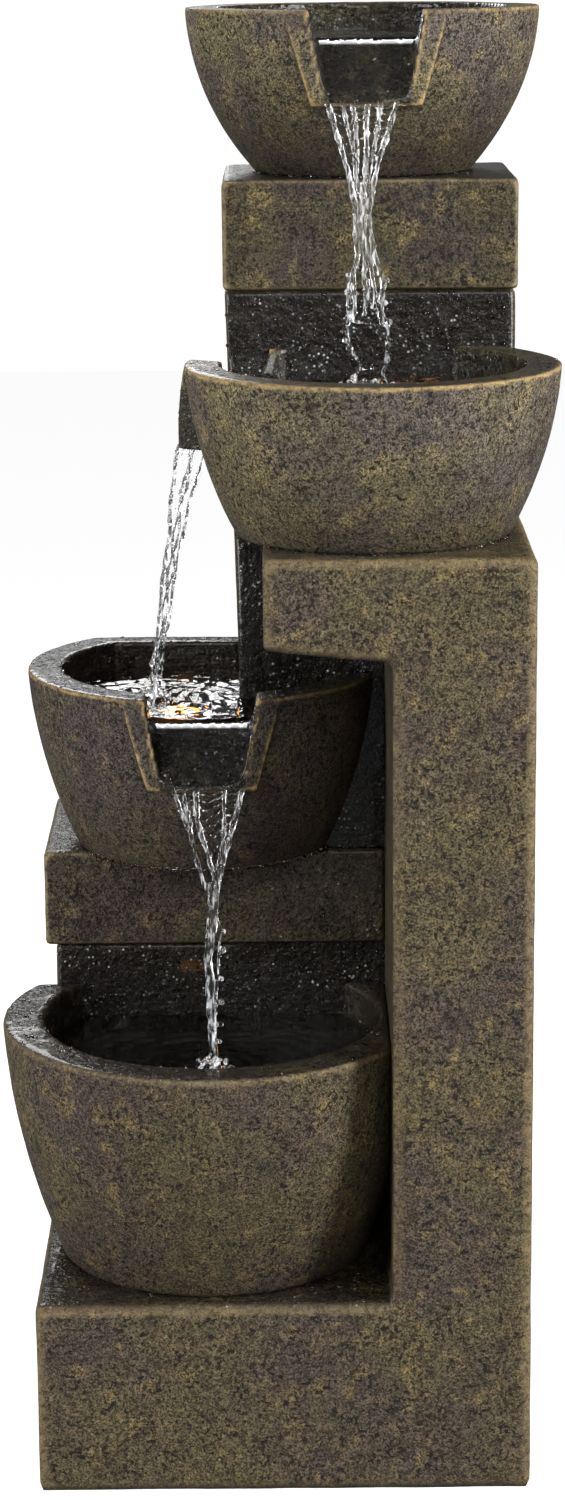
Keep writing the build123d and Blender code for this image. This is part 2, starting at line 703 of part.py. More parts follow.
# Lights: a flanged housing with an amber dome, sealed to the floor it stands on.
def make_light(name, x, y, floor_z, stem_length):
    """Housing, dome lens and seal of one light standing on a floor at height floor_z."""
    flange_z = floor_z + light_seal_height
    bezel_z = flange_z + light_flange_height
    with BuildPart() as housing:
        with BuildSketch(Plane(origin=(x, y, 0), x_dir=(1, 0, 0), z_dir=(0, -1, 0))):
            with BuildLine():
                Polyline((0, bezel_z), (0, bezel_z - 1.5), (lead_radius, bezel_z - 1.5),
                         (lead_radius, floor_z - stem_length), (light_stem_radius, floor_z - stem_length),
                         (light_stem_radius, flange_z), (light_flange_radius, flange_z),
                         (light_flange_radius, bezel_z), (13, bezel_z + 3), (lens_radius, bezel_z + 3),
                         (lens_radius, bezel_z), close=True)
            make_face()
        revolve(axis=Axis((x, y, 0), (0, 0, 1)))
    with BuildPart() as lens:
        with BuildSketch(Plane(origin=(x, y, bezel_z), x_dir=(1, 0, 0), z_dir=(0, -1, 0))):
            with BuildLine():
                Polyline((0, lens_radius + 2.8), (0, 0), (lens_radius, 0), (lens_radius, 3))
                CenterArc((0, 3), lens_radius - 0.2, 0, 90)
                Line((lens_radius, 3), (lens_radius - 0.2, 3))
            make_face()
        revolve(axis=Axis((x, y, 0), (0, 0, 1)))
    with BuildPart() as seal:
        with BuildSketch(Plane(origin=(x, y, floor_z))):
            Circle(light_flange_radius - 0.5)
            Circle(light_stem_radius, mode=Mode.SUBTRACT)
        extrude(amount=light_seal_height)
    save(housing, name + "_light_housing")
    save(lens, name + "_light_lens")
    save(seal, name + "_light_seal")


second_floor = arm_top + bowl_floor
third_floor = lower_block_top + bowl_floor
stand_floor = plinth_height + basin_floor
stand_top = stand_floor + basin_stand_height
make_light("second_bowl", second_light[0], second_light[1], second_floor, 40)
make_light("third_bowl", third_light[0], third_light[1], third_floor, 42)
make_light("basin", basin_light[0], basin_light[1], stand_top, 14)

with BuildPart() as light_nuts:
    for nut_x, nut_y, nut_z in ((*second_light, arm_top - frame_wall),
                                (*third_light, lower_block_top - block_top_thickness)):
        with BuildSketch(Plane(origin=(nut_x, nut_y, nut_z))):
            RegularPolygon(12, 6)
            Circle(light_stem_radius, mode=Mode.SUBTRACT)
        extrude(amount=-5)
save(light_nuts, "light_nuts")

with BuildPart() as light_stand:
    with BuildSketch(Plane(origin=(*basin_light, stand_floor), x_dir=(1, 0, 0), z_dir=(0, -1, 0))):
        with BuildLine():
            Polyline((light_stem_radius, 0), (20, 0), (20, 3), (13, 6), (11, 10), (11, basin_stand_height),
                     (light_stem_radius, basin_stand_height), close=True)
        make_face()
    revolve(axis=Axis((*basin_light, 0), (0, 0, 1)))
    with BuildSketch(front_plane(basin_light[1])):
        with Locations((basin_light[0], stand_floor + 19)):
            Rectangle(7, 16)
    extrude(amount=-25, mode=Mode.SUBTRACT)
save(light_stand, "light_stand")

# Lead splitter on the inside of the back wall, and the low-voltage leads that meet in it.
splitter_left = 134.0
splitter_right = 160.0
splitter_bottom = 350.0
splitter_top = 390.0
wall_inside = back_face - rear_wall
splitter_depth = 18.0
with BuildPart() as lead_splitter:
    with BuildSketch(Plane.XY.offset(splitter_bottom)):
        with Locations(((splitter_left + splitter_right) / 2, wall_inside - splitter_depth / 2)):
            RectangleRounded(splitter_right - splitter_left, splitter_depth, 3)
    extrude(amount=splitter_top - splitter_bottom)
save(lead_splitter, "lead_splitter")


def make_lead(name, points):
    """A round lead along straight runs joined by arcs as large as the runs allow."""
    corners = [Vector(*point) for point in points]
    radii = []
    for before, corner, after in zip(corners, corners[1:], corners[2:]):
        turn = (corner - before).get_angle(after - corner)
        shorter = min((corner - before).length, (after - corner).length)
        radii.append(0.45 * shorter / tan(radians(turn / 2)))
    print(name, "bend radii", [round(radius) for radius in radii])
    with BuildPart() as lead:
        with BuildLine() as route:
            FilletPolyline(*corners, radius=radii)
        start = corners[0]
        with BuildSketch(Plane(origin=start, z_dir=corners[1] - start)):
            Circle(lead_radius)
        sweep()
    length = route.wires()[0].length
    ratio = lead.part.volume / (pi * lead_radius**2 * length)
    print(name, "length", round(length), "volume ratio", round(ratio, 3))
    save(lead, name)


splitter_y = wall_inside - splitter_depth / 2
make_lead("pump_lead", [(pump_end - 6, pump_y, volute_axis_z + 12), (pump_end + 9, pump_y, volute_axis_z + 12),
                        (149, 92, 206), (154, 98, 230), (155.5, 112, 270), (155, 132, 310),
                        (154, splitter_y, 332), (154, splitter_y, splitter_bottom)])
make_lead("second_bowl_lead", [(*second_light, second_floor - 40), (92, -27, 634), (98, -20, 623),
                               (110, -8, 625), (118, 2, 635), (120.5, 14, 640), (122, 29, 634),
                               (123, 38, 604), (127, 43, 540), (134, 66, 484), (141, 104, 436),
                               (146, splitter_y, 408), (146, splitter_y, splitter_top)])
make_lead("third_bowl_lead", [(*third_light, third_floor - 42), (-71, 71, 370), (-64, 66, 344),
                              (-44, 61, 327), (-14, 59.6, 325), (24, 54, 324), (64, 50, 325), (104, 66, 326),
                              (126, 96, 322), (137, 126, 322), (140, splitter_y, 336),
                              (140, splitter_y, splitter_bottom)])
stand_x, stand_y = basin_light
make_lead("basin_lead", [(stand_x, stand_y, stand_top - 14), (stand_x, stand_y + 0.5, 222),
                         (stand_x, stand_y + 1.5, 195), (stand_x, stand_y + 11, 174),
                         (stand_x + 3, stand_y + 28, 166), (stand_x + 16, stand_y + 46, 163.5),
                         (-30, -46, 164), (-8, -22, 170), (3, -2, 178), (6, 22, 184), (6, 38, 208),
                         (6, 42, 244), (10, 42, 284), (34, 40, 312), (72, 44, 310), (112, 66, 314), (136, 98, 316),
                         (146, 128, 320), (147, splitter_y, 336), (147, splitter_y, splitter_bottom)])
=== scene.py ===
import random
from math import cos, pi, radians, sin

import bmesh
import bpy
import numpy as np
from mathutils import Matrix, Vector, noise


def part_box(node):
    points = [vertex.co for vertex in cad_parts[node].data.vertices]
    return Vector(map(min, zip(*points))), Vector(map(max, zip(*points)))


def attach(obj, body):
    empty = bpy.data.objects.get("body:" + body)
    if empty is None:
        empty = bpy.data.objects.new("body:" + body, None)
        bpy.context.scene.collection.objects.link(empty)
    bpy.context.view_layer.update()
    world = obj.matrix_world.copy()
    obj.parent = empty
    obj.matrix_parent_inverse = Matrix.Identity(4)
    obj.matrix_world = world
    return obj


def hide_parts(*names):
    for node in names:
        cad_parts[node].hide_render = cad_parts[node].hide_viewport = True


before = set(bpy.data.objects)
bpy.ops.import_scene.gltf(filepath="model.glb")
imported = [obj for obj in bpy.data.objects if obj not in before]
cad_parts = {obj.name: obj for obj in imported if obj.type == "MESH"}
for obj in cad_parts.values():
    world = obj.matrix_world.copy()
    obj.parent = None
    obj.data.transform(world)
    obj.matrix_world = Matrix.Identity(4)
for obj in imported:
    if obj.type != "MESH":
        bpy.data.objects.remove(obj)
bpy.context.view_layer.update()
mm = 0.001


# Frame casting: plinth, right-hand column and the arm under the second bowl.
# Thin-walled polyresin poured in one mould, painted in olive, grey and ochre washes,
# then rubbed back so that its edges show the pale ground coat.
def put(tree, kind, feeds=None, **settings):
    """Adds a node, with plain values or other nodes' outputs on its inputs."""
    made = tree.nodes.new("ShaderNode" + kind)
    for name, value in settings.items():
        setattr(made, name, value)
    for name, value in (feeds or {}).items():
        if isinstance(value, bpy.types.NodeSocket):
            tree.links.new(value, made.inputs[name])
        else:
            made.inputs[name].default_value = value
    return made


def step(tree, value, low, high, low_out=0.0, high_out=1.0):
    """Soft step of a varying value."""
    feeds = {"Value": value, "From Min": low, "From Max": high, "To Min": low_out, "To Max": high_out}
    return put(tree, "MapRange", feeds, interpolation_type="SMOOTHSTEP").outputs["Result"]


def combine(tree, first, second, how="MULTIPLY"):
    """Two varying values multiplied, or combined in another way."""
    return put(tree, "Math", {0: first, 1: second}, operation=how).outputs[0]


def wash(tree, amount, under, over, how="MIX"):
    """One colour laid over another by an amount."""
    return put(tree, "Mix", {0: amount, 6: under, 7: over}, data_type="RGBA", blend_type=how).outputs[2]


def cloud(tree, where, size, detail=3.0, roughness=0.55, stretch=(1.0, 1.0, 1.0)):
    """Noise whose patches are about size metres across."""
    if stretch != (1.0, 1.0, 1.0):
        where = put(tree, "Mapping", {"Vector": where, "Scale": stretch}).outputs[0]
    feeds = {"Vector": where, "Scale": 1 / size, "Detail": detail, "Roughness": roughness}
    return put(tree, "TexNoise", feeds).outputs[0]


def new_group(name, inputs, outputs):
    """Node group with named inputs (name, kind, value) and outputs (name, kind)."""
    group = bpy.data.node_groups.new(name, "ShaderNodeTree")
    for title, kind, value in inputs:
        socket = group.interface.new_socket(title, in_out="INPUT", socket_type="NodeSocket" + kind)
        socket.default_value = value
    for title, kind in outputs:
        group.interface.new_socket(title, in_out="OUTPUT", socket_type="NodeSocket" + kind)
    return group, group.nodes.new("NodeGroupInput").outputs, group.nodes.new("NodeGroupOutput").inputs


def dots(tree, where, scale, rim, core, chosen=None, feature="F1"):
    """Round spots that fade from core to rim, in all cells of a pattern or in a share of them."""
    cells = put(tree, "TexVoronoi", {"Vector": where, "Scale": scale}, feature=feature).outputs
    spots = step(tree, cells["Distance"], rim, core)
    return combine(tree, spots, step(tree, cells["Color"], *chosen)) if chosen else spots


def make_resin_group():
    """Mottled washes, pinholes, rubbed edges and wet areas of the cast resin."""
    group, given, out = new_group(
        "weathered_resin",
        [("Olive", "Color", (0.1, 0.08, 0.045, 1)), ("Umber", "Color", (0.07, 0.05, 0.045, 1)),
         ("Ochre", "Color", (0.2, 0.14, 0.06, 1)), ("Rubbed", "Color", (0.3, 0.225, 0.125, 1)),
         ("Ochre share", "Float", 0.5), ("Rubbing", "Float", 1.0)],
        [("Colour", "Color"), ("Roughness", "Float"), ("Film", "Float"), ("Height", "Float")])
    soot = (0.016, 0.011, 0.009, 1)
    pit_shade = (0.008, 0.006, 0.005, 1)
    # Colour of the painted shade in hollows and under downward faces.
    painted_shade_colour = (0.014, 0.009, 0.006, 1)
    soaked_shade = (0.006, 0.005, 0.0045, 1)
    # Colour of the painted glints on soaked skin.
    painted_glint_colour = (0.5, 0.51, 0.53, 1)
    place = put(group, "TexCoord").outputs["Object"]
    wear = put(group, "Attribute", attribute_name="wear").outputs["Fac"]
    wet = put(group, "Attribute", attribute_name="wet").outputs["Fac"]
    hollow_and_underside_shade = put(group, "Attribute", attribute_name="hollow_and_underside_shade").outputs["Fac"]
    broad = cloud(group, place, 0.085, 2.0)
    patches = cloud(group, place, 0.021, 5.0, 0.62)
    flecks = cloud(group, place, 0.0042, 3.0, 0.6)
    grain = cloud(group, place, 0.0013, 2.0, 0.5)

    # Washes: olive and umber in broad clouds, ochre sponged over them, soot in scattered dark blotches.
    colour = wash(group, step(group, broad, 0.4, 0.62), given["Olive"], given["Umber"])
    ochre = combine(group, step(group, patches, 0.5, 0.68), given["Ochre share"])
    ochre = combine(group, ochre, step(group, flecks, 0.3, 0.6, 0.35, 1.0))
    colour = wash(group, ochre, colour, given["Ochre"])
    colour = wash(group, step(group, patches, 0.46, 0.3, 0.0, 0.6), colour, soot)
    speck = combine(group, step(group, grain, 0.28, 0.72, 0.3, 2.2),
                    step(group, flecks, 0.3, 0.7, 0.72, 1.3))
    grey = put(group, "CombineXYZ", {0: speck, 1: speck, 2: speck}).outputs[0]
    colour = wash(group, 1.0, colour, grey, "MULTIPLY")

    # Pinholes in crowds, finer ones everywhere, and short crooked grooves.
    crowd = step(group, cloud(group, place, 0.014, 2.0), 0.36, 0.6)
    deep = combine(group, dots(group, place, 430.0, 0.36, 0.16, (0.35, 0.6)), crowd)
    fine = combine(group, dots(group, place, 800.0, 0.3, 0.14), 0.6)
    groove = step(group, cloud(group, place, 0.0031, 2.0, 0.45), 0.56, 0.64)
    groove = combine(group, groove, step(group, cloud(group, place, 0.019, 2.0), 0.3, 0.6, 0.35, 1.0))
    deep = combine(group, combine(group, deep, fine, "MAXIMUM"), groove, "MAXIMUM")
    colour = wash(group, combine(group, deep, 0.93), colour, pit_shade)

    # Edges rubbed back to the ground coat, and painted shade in hollows and on faces that look downwards.
    ragged = step(group, cloud(group, place, 0.007, 4.0, 0.65), 0.28, 0.62, 0.15, 1.0)
    rubbed = combine(group, combine(group, wear, given["Rubbing"]), ragged)
    colour = wash(group, rubbed, colour, given["Rubbed"])
    colour = wash(group, combine(group, hollow_and_underside_shade, 0.7), colour, painted_shade_colour)

    # Soaked skin: almost black and glossy, with painted glints (pale dots in the colour for light caught by
    # tiny drops) and beads of water.
    soak = combine(group, wet, step(group, cloud(group, place, 0.012, 3.0), 0.22, 0.5, 0.55, 1.0))
    colour = wash(group, combine(group, soak, 0.86), colour, soaked_shade)
    dry = step(group, flecks, 0.25, 0.75, 0.55, 0.78)
    glossy = step(group, patches, 0.3, 0.7, 0.06, 0.22)
    rough = put(group, "Mix", {0: soak, 2: dry, 3: glossy}, data_type="FLOAT").outputs[0]
    # Painted glints: pale dots in the colour where drops would catch the light.
    painted_glint = combine(group, dots(group, place, 300.0, 0.34, 0.14, (0.66, 0.7)), soak)
    painted_glint = combine(group, painted_glint, step(group, patches, 0.47, 0.66, 0.0, 1.0))
    colour = wash(group, painted_glint, colour, painted_glint_colour)

    height = combine(group, combine(group, grain, 0.35), combine(group, flecks, 0.5), "ADD")
    height = combine(group, height, deep, "SUBTRACT")
    height = combine(group, height, step(group, soak, 0.0, 1.0, 1.0, 0.35))
    beads = dots(group, place, 260.0, 0.45, 0.1, (0.42, 0.5), "SMOOTH_F1")
    beads = combine(group, beads, step(group, patches, 0.4, 0.6, 0.2, 1.0))
    runs = combine(group, cloud(group, place, 0.0058, 2.0, 0.5), 3.4)
    runs = combine(group, combine(group, runs, beads, "ADD"), soak)
    height = combine(group, height, runs, "ADD")
    for title, value in (("Colour", colour), ("Roughness", rough), ("Film", soak), ("Height", height)):
        group.links.new(value, out[title])
    return group


resin_group = make_resin_group()


def resin_finish(name, relief=0.0011, **washes):
    """Painted resin, with its own colour washes."""
    finish = bpy.data.materials.new(name)
    finish.use_nodes = True
    tree = finish.node_tree
    shader = tree.nodes["Principled BSDF"]
    pattern = tree.nodes.new("ShaderNodeGroup")
    pattern.node_tree = resin_group
    for title, value in washes.items():
        pattern.inputs[title.replace("_", " ")].default_value = value
    bump_inputs = {"Height": pattern.outputs["Height"], "Distance": relief, "Strength": 0.9}
    relief_node = put(tree, "Bump", bump_inputs)
    tree.links.new(pattern.outputs["Colour"], shader.inputs["Base Color"])
    tree.links.new(pattern.outputs["Roughness"], shader.inputs["Roughness"])
    film = step(tree, pattern.outputs["Film"], 0.0, 1.0, 0.0, 0.5)
    tree.links.new(film, shader.inputs["Coat Weight"])
    tree.links.new(relief_node.outputs["Normal"], shader.inputs["Normal"])
    shader.inputs["Coat Roughness"].default_value = 0.07
    shader.inputs["Coat IOR"].default_value = 1.33
    shader.inputs["Specular IOR Level"].default_value = 0.2
    return finish


def shown(mesh_name, mesh, finish, body, nodes=()):
    """Puts a finished mesh in the scene as a piece on its body."""
    piece = bpy.data.objects.new(mesh_name, mesh)
    bpy.context.scene.collection.objects.link(piece)
    mesh.materials.clear()
    mesh.materials.append(finish)
    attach(piece, body)
    if nodes:
        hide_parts(*nodes)
    return piece


def applied(mesh, voxel, smoothing, rounds):
    """Mesh rebuilt in even small faces, with softened edges."""
    worker = bpy.data.objects.new("worker", mesh)
    bpy.context.scene.collection.objects.link(worker)
    rebuild = worker.modifiers.new("even faces", "REMESH")
    rebuild.mode = "VOXEL"
    rebuild.voxel_size = voxel
    soften = worker.modifiers.new("soft edges", "SMOOTH")
    soften.factor = smoothing
    soften.iterations = rounds
    graph = bpy.context.evaluated_depsgraph_get()
    made = bpy.data.meshes.new_from_object(worker.evaluated_get(graph))
    bpy.data.objects.remove(worker)
    made.shade_smooth()
    return made


def soft_step(value, low, high):
    """Smooth 0 to 1 between two limits, which may run downwards."""
    share = np.clip((value - low) / (high - low), 0, 1)
    return share * share * (3 - 2 * share)


skin_unevenness = 0.45 * mm


def casting(node, voxel, finish, wetness, rounding=2, joined=()):
    """Visible skin of a casting: rounded edges, uneven faces, and masks for wear, damp and painted shade in
    hollows and under downward faces.

    wetness gives 0 to 1 for points in millimetres and their normals, and joined lists the
    castings bonded flush to this one, each with the shift that closes the joint.
    """
    shell = bmesh.new()
    shell.from_mesh(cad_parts[node].data)
    for neighbour, overlap in joined:
        known = set(shell.verts)
        shell.from_mesh(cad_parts[neighbour].data)
        bmesh.ops.translate(shell, vec=overlap, verts=[vert for vert in shell.verts if vert not in known])
    bmesh.ops.remove_doubles(shell, verts=shell.verts, dist=0.02 * mm)
    merged = bpy.data.meshes.new(node + "_merged")
    shell.to_mesh(merged)
    shell.free()
    mesh = applied(merged, voxel, 0.5, rounding)
    count = len(mesh.vertices)
    points = np.empty(count * 3)
    facing = np.empty(count * 3)
    edges = np.empty(len(mesh.edges) * 2, dtype=np.int64)
    mesh.vertices.foreach_get("co", points)
    mesh.vertex_normals.foreach_get("vector", facing)
    mesh.edges.foreach_get("vertices", edges)
    points, facing, edges = points.reshape(-1, 3), facing.reshape(-1, 3), edges.reshape(-1, 2)
    near = np.bincount(edges.ravel(), minlength=count)

    def spread(values):
        """Mean of each vertex's neighbours."""
        total = np.bincount(edges[:, 0], weights=values[edges[:, 1]], minlength=count)
        return (total + np.bincount(edges[:, 1], weights=values[edges[:, 0]], minlength=count)) / near

    middle = np.stack([spread(points[:, axis]) for axis in range(3)], axis=1)
    bulge = ((points - middle) * facing).sum(axis=1) / voxel
    for _ in range(3):
        bulge = 0.4 * bulge + 0.6 * spread(bulge)
    wear = soft_step(bulge, 0.035, 0.11) * (0.35 + 0.65 * soft_step(facing[:, 2] - facing[:, 1], -0.5, 0.7))
    # Painted shade: darker in hollows and on faces that look downwards, where shade falls.
    hollow_and_underside_shade = np.maximum(soft_step(-bulge, 0.02, 0.1), 0.95 * soft_step(-facing[:, 2], 0.12, 0.62))
    offset = np.empty(count)
    for index, point in enumerate(points):
        spot = Vector(point)
        offset[index] = noise.noise(spot * 17) + 0.35 * noise.noise(spot * 62)
        offset[index] += 0.16 * noise.noise(spot * 190)
    points = points + facing * (offset * skin_unevenness)[:, None]
    mesh.vertices.foreach_set("co", points.ravel())
    wet = np.clip(wetness(points / mm, facing), 0, 1)
    wear = wear * (1 - 0.75 * wet)
    for title, values in (("wear", wear), ("wet", wet), ("hollow_and_underside_shade", hollow_and_underside_shade)):
        mesh.attributes.new(title, "FLOAT", "POINT").data.foreach_set("value", values.astype(np.float32))
    mesh.update()
    replaced = [node] + [name for name, _ in joined]
    return shown(node + "_cast", mesh, finish, "fountain", replaced)


frame_finish = resin_finish("painted_resin_frame", Olive=(0.062, 0.05, 0.026, 1),
                            Umber=(0.049, 0.037, 0.028, 1), Ochre=(0.13, 0.094, 0.036, 1), Ochre_share=0.6,
                            Rubbed=(0.26, 0.19, 0.095, 1), Rubbing=0.55)
basin_low, basin_high = (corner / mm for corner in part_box("bottom_basin"))
frame_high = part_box("frame_casting")[1] / mm
plinth_top = basin_low.z


def frame_wetness(at, facing):
    """Splashes on the plinth's top round the basin and on the column's left face."""
    top = soft_step(facing[:, 2], 0.5, 0.9) * soft_step(at[:, 2], plinth_top + 20, plinth_top + 2)
    return 0.8 * top + 0.35 * soft_step(-facing[:, 0], 0.6, 0.9) * soft_step(at[:, 2], 180, 300)


casting("frame_casting", 3.6 * mm, frame_finish, frame_wetness, rounding=1)

# Rear column and the wall behind the basin: a tall hollow casting, wider at the top and
# open at the back for the pump, bonded to the lower wall with its joint filled flush.
# The front is soaked by the water falling past it.
rear_finish = resin_finish("painted_resin_rear", Olive=(0.03, 0.025, 0.017, 1),
                           Umber=(0.026, 0.02, 0.018, 1), Ochre=(0.07, 0.052, 0.025, 1), Ochre_share=0.3,
                           Rubbing=0.6)
joint_overlap = Vector((1.6 * mm, 0, 0))
rear_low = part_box("rear_column")[0] / mm
second_low, second_high = (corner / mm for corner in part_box("second_bowl"))
third_low, third_high = (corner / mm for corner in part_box("third_bowl"))


def rear_wetness(at, facing):
    """Front face behind the second bowl and the basin, and the faces round the third bowl."""
    front = soft_step(-facing[:, 1], 0.5, 0.9) * (at[:, 1] < rear_low.y + 8)
    left = soft_step(-facing[:, 0], 0.5, 0.9) * (at[:, 0] < rear_low.x + 14) * (at[:, 2] > third_low.z)
    return front * 0.97 + left * (0.35 + 0.5 * soft_step(at[:, 2], third_high.z + 60, third_high.z))


casting("rear_column", 3.6 * mm, rear_finish, rear_wetness, rounding=1,
        joined=[("basin_back", joint_overlap)])

# Lower block: the ledge that carries the third bowl, cast separately and bonded on,
# with rubbed top edges and a damp front.
block_finish = resin_finish("painted_resin_block", Olive=(0.05, 0.04, 0.023, 1),
                            Umber=(0.04, 0.03, 0.025, 1), Ochre=(0.13, 0.095, 0.042, 1), Ochre_share=0.45)


def lower_block_wetness(at, facing):
    """Run-off on the front, stronger towards the column, and a wet top."""
    front = soft_step(-facing[:, 1], 0.5, 0.9) * soft_step(at[:, 0], -120, 60)
    return 0.55 * front + 0.6 * soft_step(facing[:, 2], 0.6, 0.9)


casting("lower_block", 2.5 * mm, block_finish, lower_block_wetness, rounding=1)


# Upper block: the ledge under the top bowl, a plain slab cast like the lower one and
# bonded to the rear column, dry but for its upper face.
def upper_block_wetness(at, facing):
    """A little water lies round the foot of the top bowl."""
    return 0.55 * soft_step(facing[:, 2], 0.6, 0.9)


upper_finish = resin_finish("painted_resin_upper", Olive=(0.046, 0.038, 0.019, 1),
                            Umber=(0.034, 0.026, 0.021, 1), Ochre=(0.125, 0.095, 0.037, 1), Ochre_share=0.65)
casting("upper_block", 2.5 * mm, upper_finish, upper_block_wetness, rounding=1)

# Bowls: three round bowls and the larger basin, each cast with its keystone spout in
# one piece, dry and mottled outside, soaked and almost black inside.
gold_edge = (0.36, 0.25, 0.11, 1)
bowl_finish = resin_finish("painted_resin_bowl", Olive=(0.094, 0.079, 0.042, 1),
                           Umber=(0.068, 0.055, 0.044, 1), Ochre=(0.185, 0.14, 0.057, 1), Ochre_share=0.55,
                           Rubbed=gold_edge, Rubbing=1.6)
# The third bowl's finish is a darker copy of the bowl finish: painted shade for the shadow of the arm and
# column over it.
third_bowl_shaded_finish = resin_finish("painted_resin_third_shaded", Olive=(0.056, 0.047, 0.027, 1),
                            Umber=(0.044, 0.034, 0.031, 1), Ochre=(0.12, 0.088, 0.038, 1), Ochre_share=0.5,
                            Rubbed=gold_edge, Rubbing=1.6)
top_low, top_high = (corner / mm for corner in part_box("top_bowl"))
ring = 25.0
basin_ring = 30.0
weir_depth = 20.5
lip_depth = 61.5
lip_overhang = 10.0
chute_run = 30.0
chute_drop = lip_depth - weir_depth
channel_half_width = 41.0
channel_taper = 0.195
spout_half_width = 52.0
second_spout_angle = 150.0
top_radius = (top_high.x - top_low.x) / 2
middle_radius = 129.5
basin_radius = 150.5
top_centre = Vector((top_low.x + top_radius, top_high.y - top_radius))
second_centre = Vector((second_high.x - middle_radius, second_low.y + middle_radius))
third_centre = Vector((third_low.x + middle_radius, third_low.y + lip_overhang + middle_radius))
basin_centre = Vector((basin_low.x + basin_radius, basin_low.y + basin_radius))


def bowl_wetness(centre, radius, wall, rim, rim_damp, spout_angle=None, spout_damp_and_shade=0.0):
    """Inside of a bowl and its chute soaked, its rim damp, its outside dry."""

    def wetness(at, facing):
        away = at[:, :2] - np.array(centre)
        reach = np.hypot(away[:, 0], away[:, 1])
        lean = (away * facing[:, :2]).sum(axis=1) / np.maximum(reach, 1)
        inside = soft_step(reach, radius - wall + 7, radius - wall - 1)
        inside = inside * soft_step(facing[:, 2] - lean, -0.35, 0.0)
        top = soft_step(facing[:, 2], 0.6, 0.9) * soft_step(at[:, 2], rim - 6, rim - 2)
        soaked = np.maximum(inside, rim_damp * top)
        if spout_angle is not None:
            outward = np.array((cos(radians(spout_angle)), sin(radians(spout_angle))))
            out = away @ outward
            across = np.abs(away @ np.array((-outward[1], outward[0])))
            drop = rim - at[:, 2]
            channel = (out > radius - 50) & (across < channel_half_width - channel_taper * drop)
            channel = channel & (drop > 4) & (drop < lip_depth + 1.2)
            # The outside of the spout is darkened as damp; this is partly real damp and partly painted shade
            # on a spout in shadow.
            spout = (out > radius - 20) & (across < spout_half_width) & (drop > 2)
            soaked = np.maximum(soaked, np.maximum(channel * 1.0, spout_damp_and_shade * spout))
        return soaked

    return wetness


casting("top_bowl", 2.0 * mm, bowl_finish,
        bowl_wetness(top_centre, top_radius, ring, top_high.z, 0.25, -90))
# The second bowl's spout is darkened as damp, partly real damp and partly painted shade on its shaded spout.
casting("second_bowl", 2.0 * mm, bowl_finish,
        bowl_wetness(second_centre, middle_radius, ring, second_high.z, 0.45, second_spout_angle, 0.9))
casting("third_bowl", 2.0 * mm, third_bowl_shaded_finish,
        bowl_wetness(third_centre, middle_radius, ring, third_high.z, 0.75, -90))
casting("bottom_basin", 2.4 * mm, frame_finish,
        bowl_wetness(basin_centre, basin_radius, basin_ring, basin_high.z, 0.8))


# Lights: three low-voltage amber lights, a domed lens on a black flange with a seal
# under it and a nut below the floor. The basin's light stands on a plastic post.
def make_plastic_group():
    """Fine moulded grain, with slight changes of shade."""
    group, given, out = new_group(
        "moulded_plastic", [("Shade", "Color", (0.03, 0.03, 0.03, 1)), ("Gloss", "Float", 0.4)],
        [("Colour", "Color"), ("Roughness", "Float"), ("Height", "Float")])
    place = put(group, "TexCoord").outputs["Object"]
    grain = cloud(group, place, 0.0007, 2.0)
    dust = cloud(group, place, 0.018, 4.0)
    colour = wash(group, step(group, dust, 0.45, 0.75, 0.0, 0.3), given["Shade"], (0.16, 0.14, 0.11, 1))
    rough = combine(group, step(group, dust, 0.3, 0.7, -0.08, 0.12), given["Gloss"], "ADD")
    for title, value in (("Colour", colour), ("Roughness", rough), ("Height", grain)):
        group.links.new(value, out[title])
    return group


plastic_group = make_plastic_group()


def plastic_finish(name, shade, gloss, relief=0.00012):
    """Moulded plastic, rubber or ceramic in one shade."""
    finish = bpy.data.materials.new(name)
    finish.use_nodes = True
    tree = finish.node_tree
    shader = tree.nodes["Principled BSDF"]
    pattern = tree.nodes.new("ShaderNodeGroup")
    pattern.node_tree = plastic_group
    pattern.inputs["Shade"].default_value = (*shade, 1)
    pattern.inputs["Gloss"].default_value = gloss
    bump_inputs = {"Height": pattern.outputs["Height"], "Distance": relief, "Strength": 0.6}
    relief_node = put(tree, "Bump", bump_inputs)
    tree.links.new(pattern.outputs["Colour"], shader.inputs["Base Color"])
    tree.links.new(pattern.outputs["Roughness"], shader.inputs["Roughness"])
    tree.links.new(relief_node.outputs["Normal"], shader.inputs["Normal"])
    return finish


def dress(finish, *nodes):
    """Gives CAD nodes their finish."""
    for name in nodes:
        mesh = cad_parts[name].data
        mesh.materials.clear()
        mesh.materials.append(finish)


lights = ("second_bowl", "third_bowl", "basin")
black_plastic = plastic_finish("black_light_plastic", (0.012, 0.012, 0.013), 0.35)
soft_rubber = plastic_finish("soft_rubber", (0.018, 0.018, 0.019), 0.62, 0.0002)
fitting_plastic = plastic_finish("fitting_plastic", (0.03, 0.03, 0.032), 0.42)
dress(black_plastic, *(name + "_light_housing" for name in lights))
dress(soft_rubber, *(name + "_light_seal" for name in lights))
dress(fitting_plastic, "light_nuts", "light_stand")

amber_lens = bpy.data.materials.new("amber_lens")
amber_lens.use_nodes = True
lens_tree = amber_lens.node_tree
lens_shader = lens_tree.nodes["Principled BSDF"]
lens_place = put(lens_tree, "TexCoord").outputs["Object"]
lens_glow = wash(lens_tree, step(lens_tree, cloud(lens_tree, lens_place, 0.006, 3.0), 0.35, 0.7),
                 (1.0, 0.3, 0.03, 1), (1.0, 0.55, 0.16, 1))
lens_tree.links.new(lens_glow, lens_shader.inputs["Base Color"])
lens_tree.links.new(lens_glow, lens_shader.inputs["Emission Color"])
lens_shader.inputs["Emission Strength"].default_value = 3.5
lens_shader.inputs["Roughness"].default_value = 0.12
dress(amber_lens, *(name + "_light_lens" for name in lights))

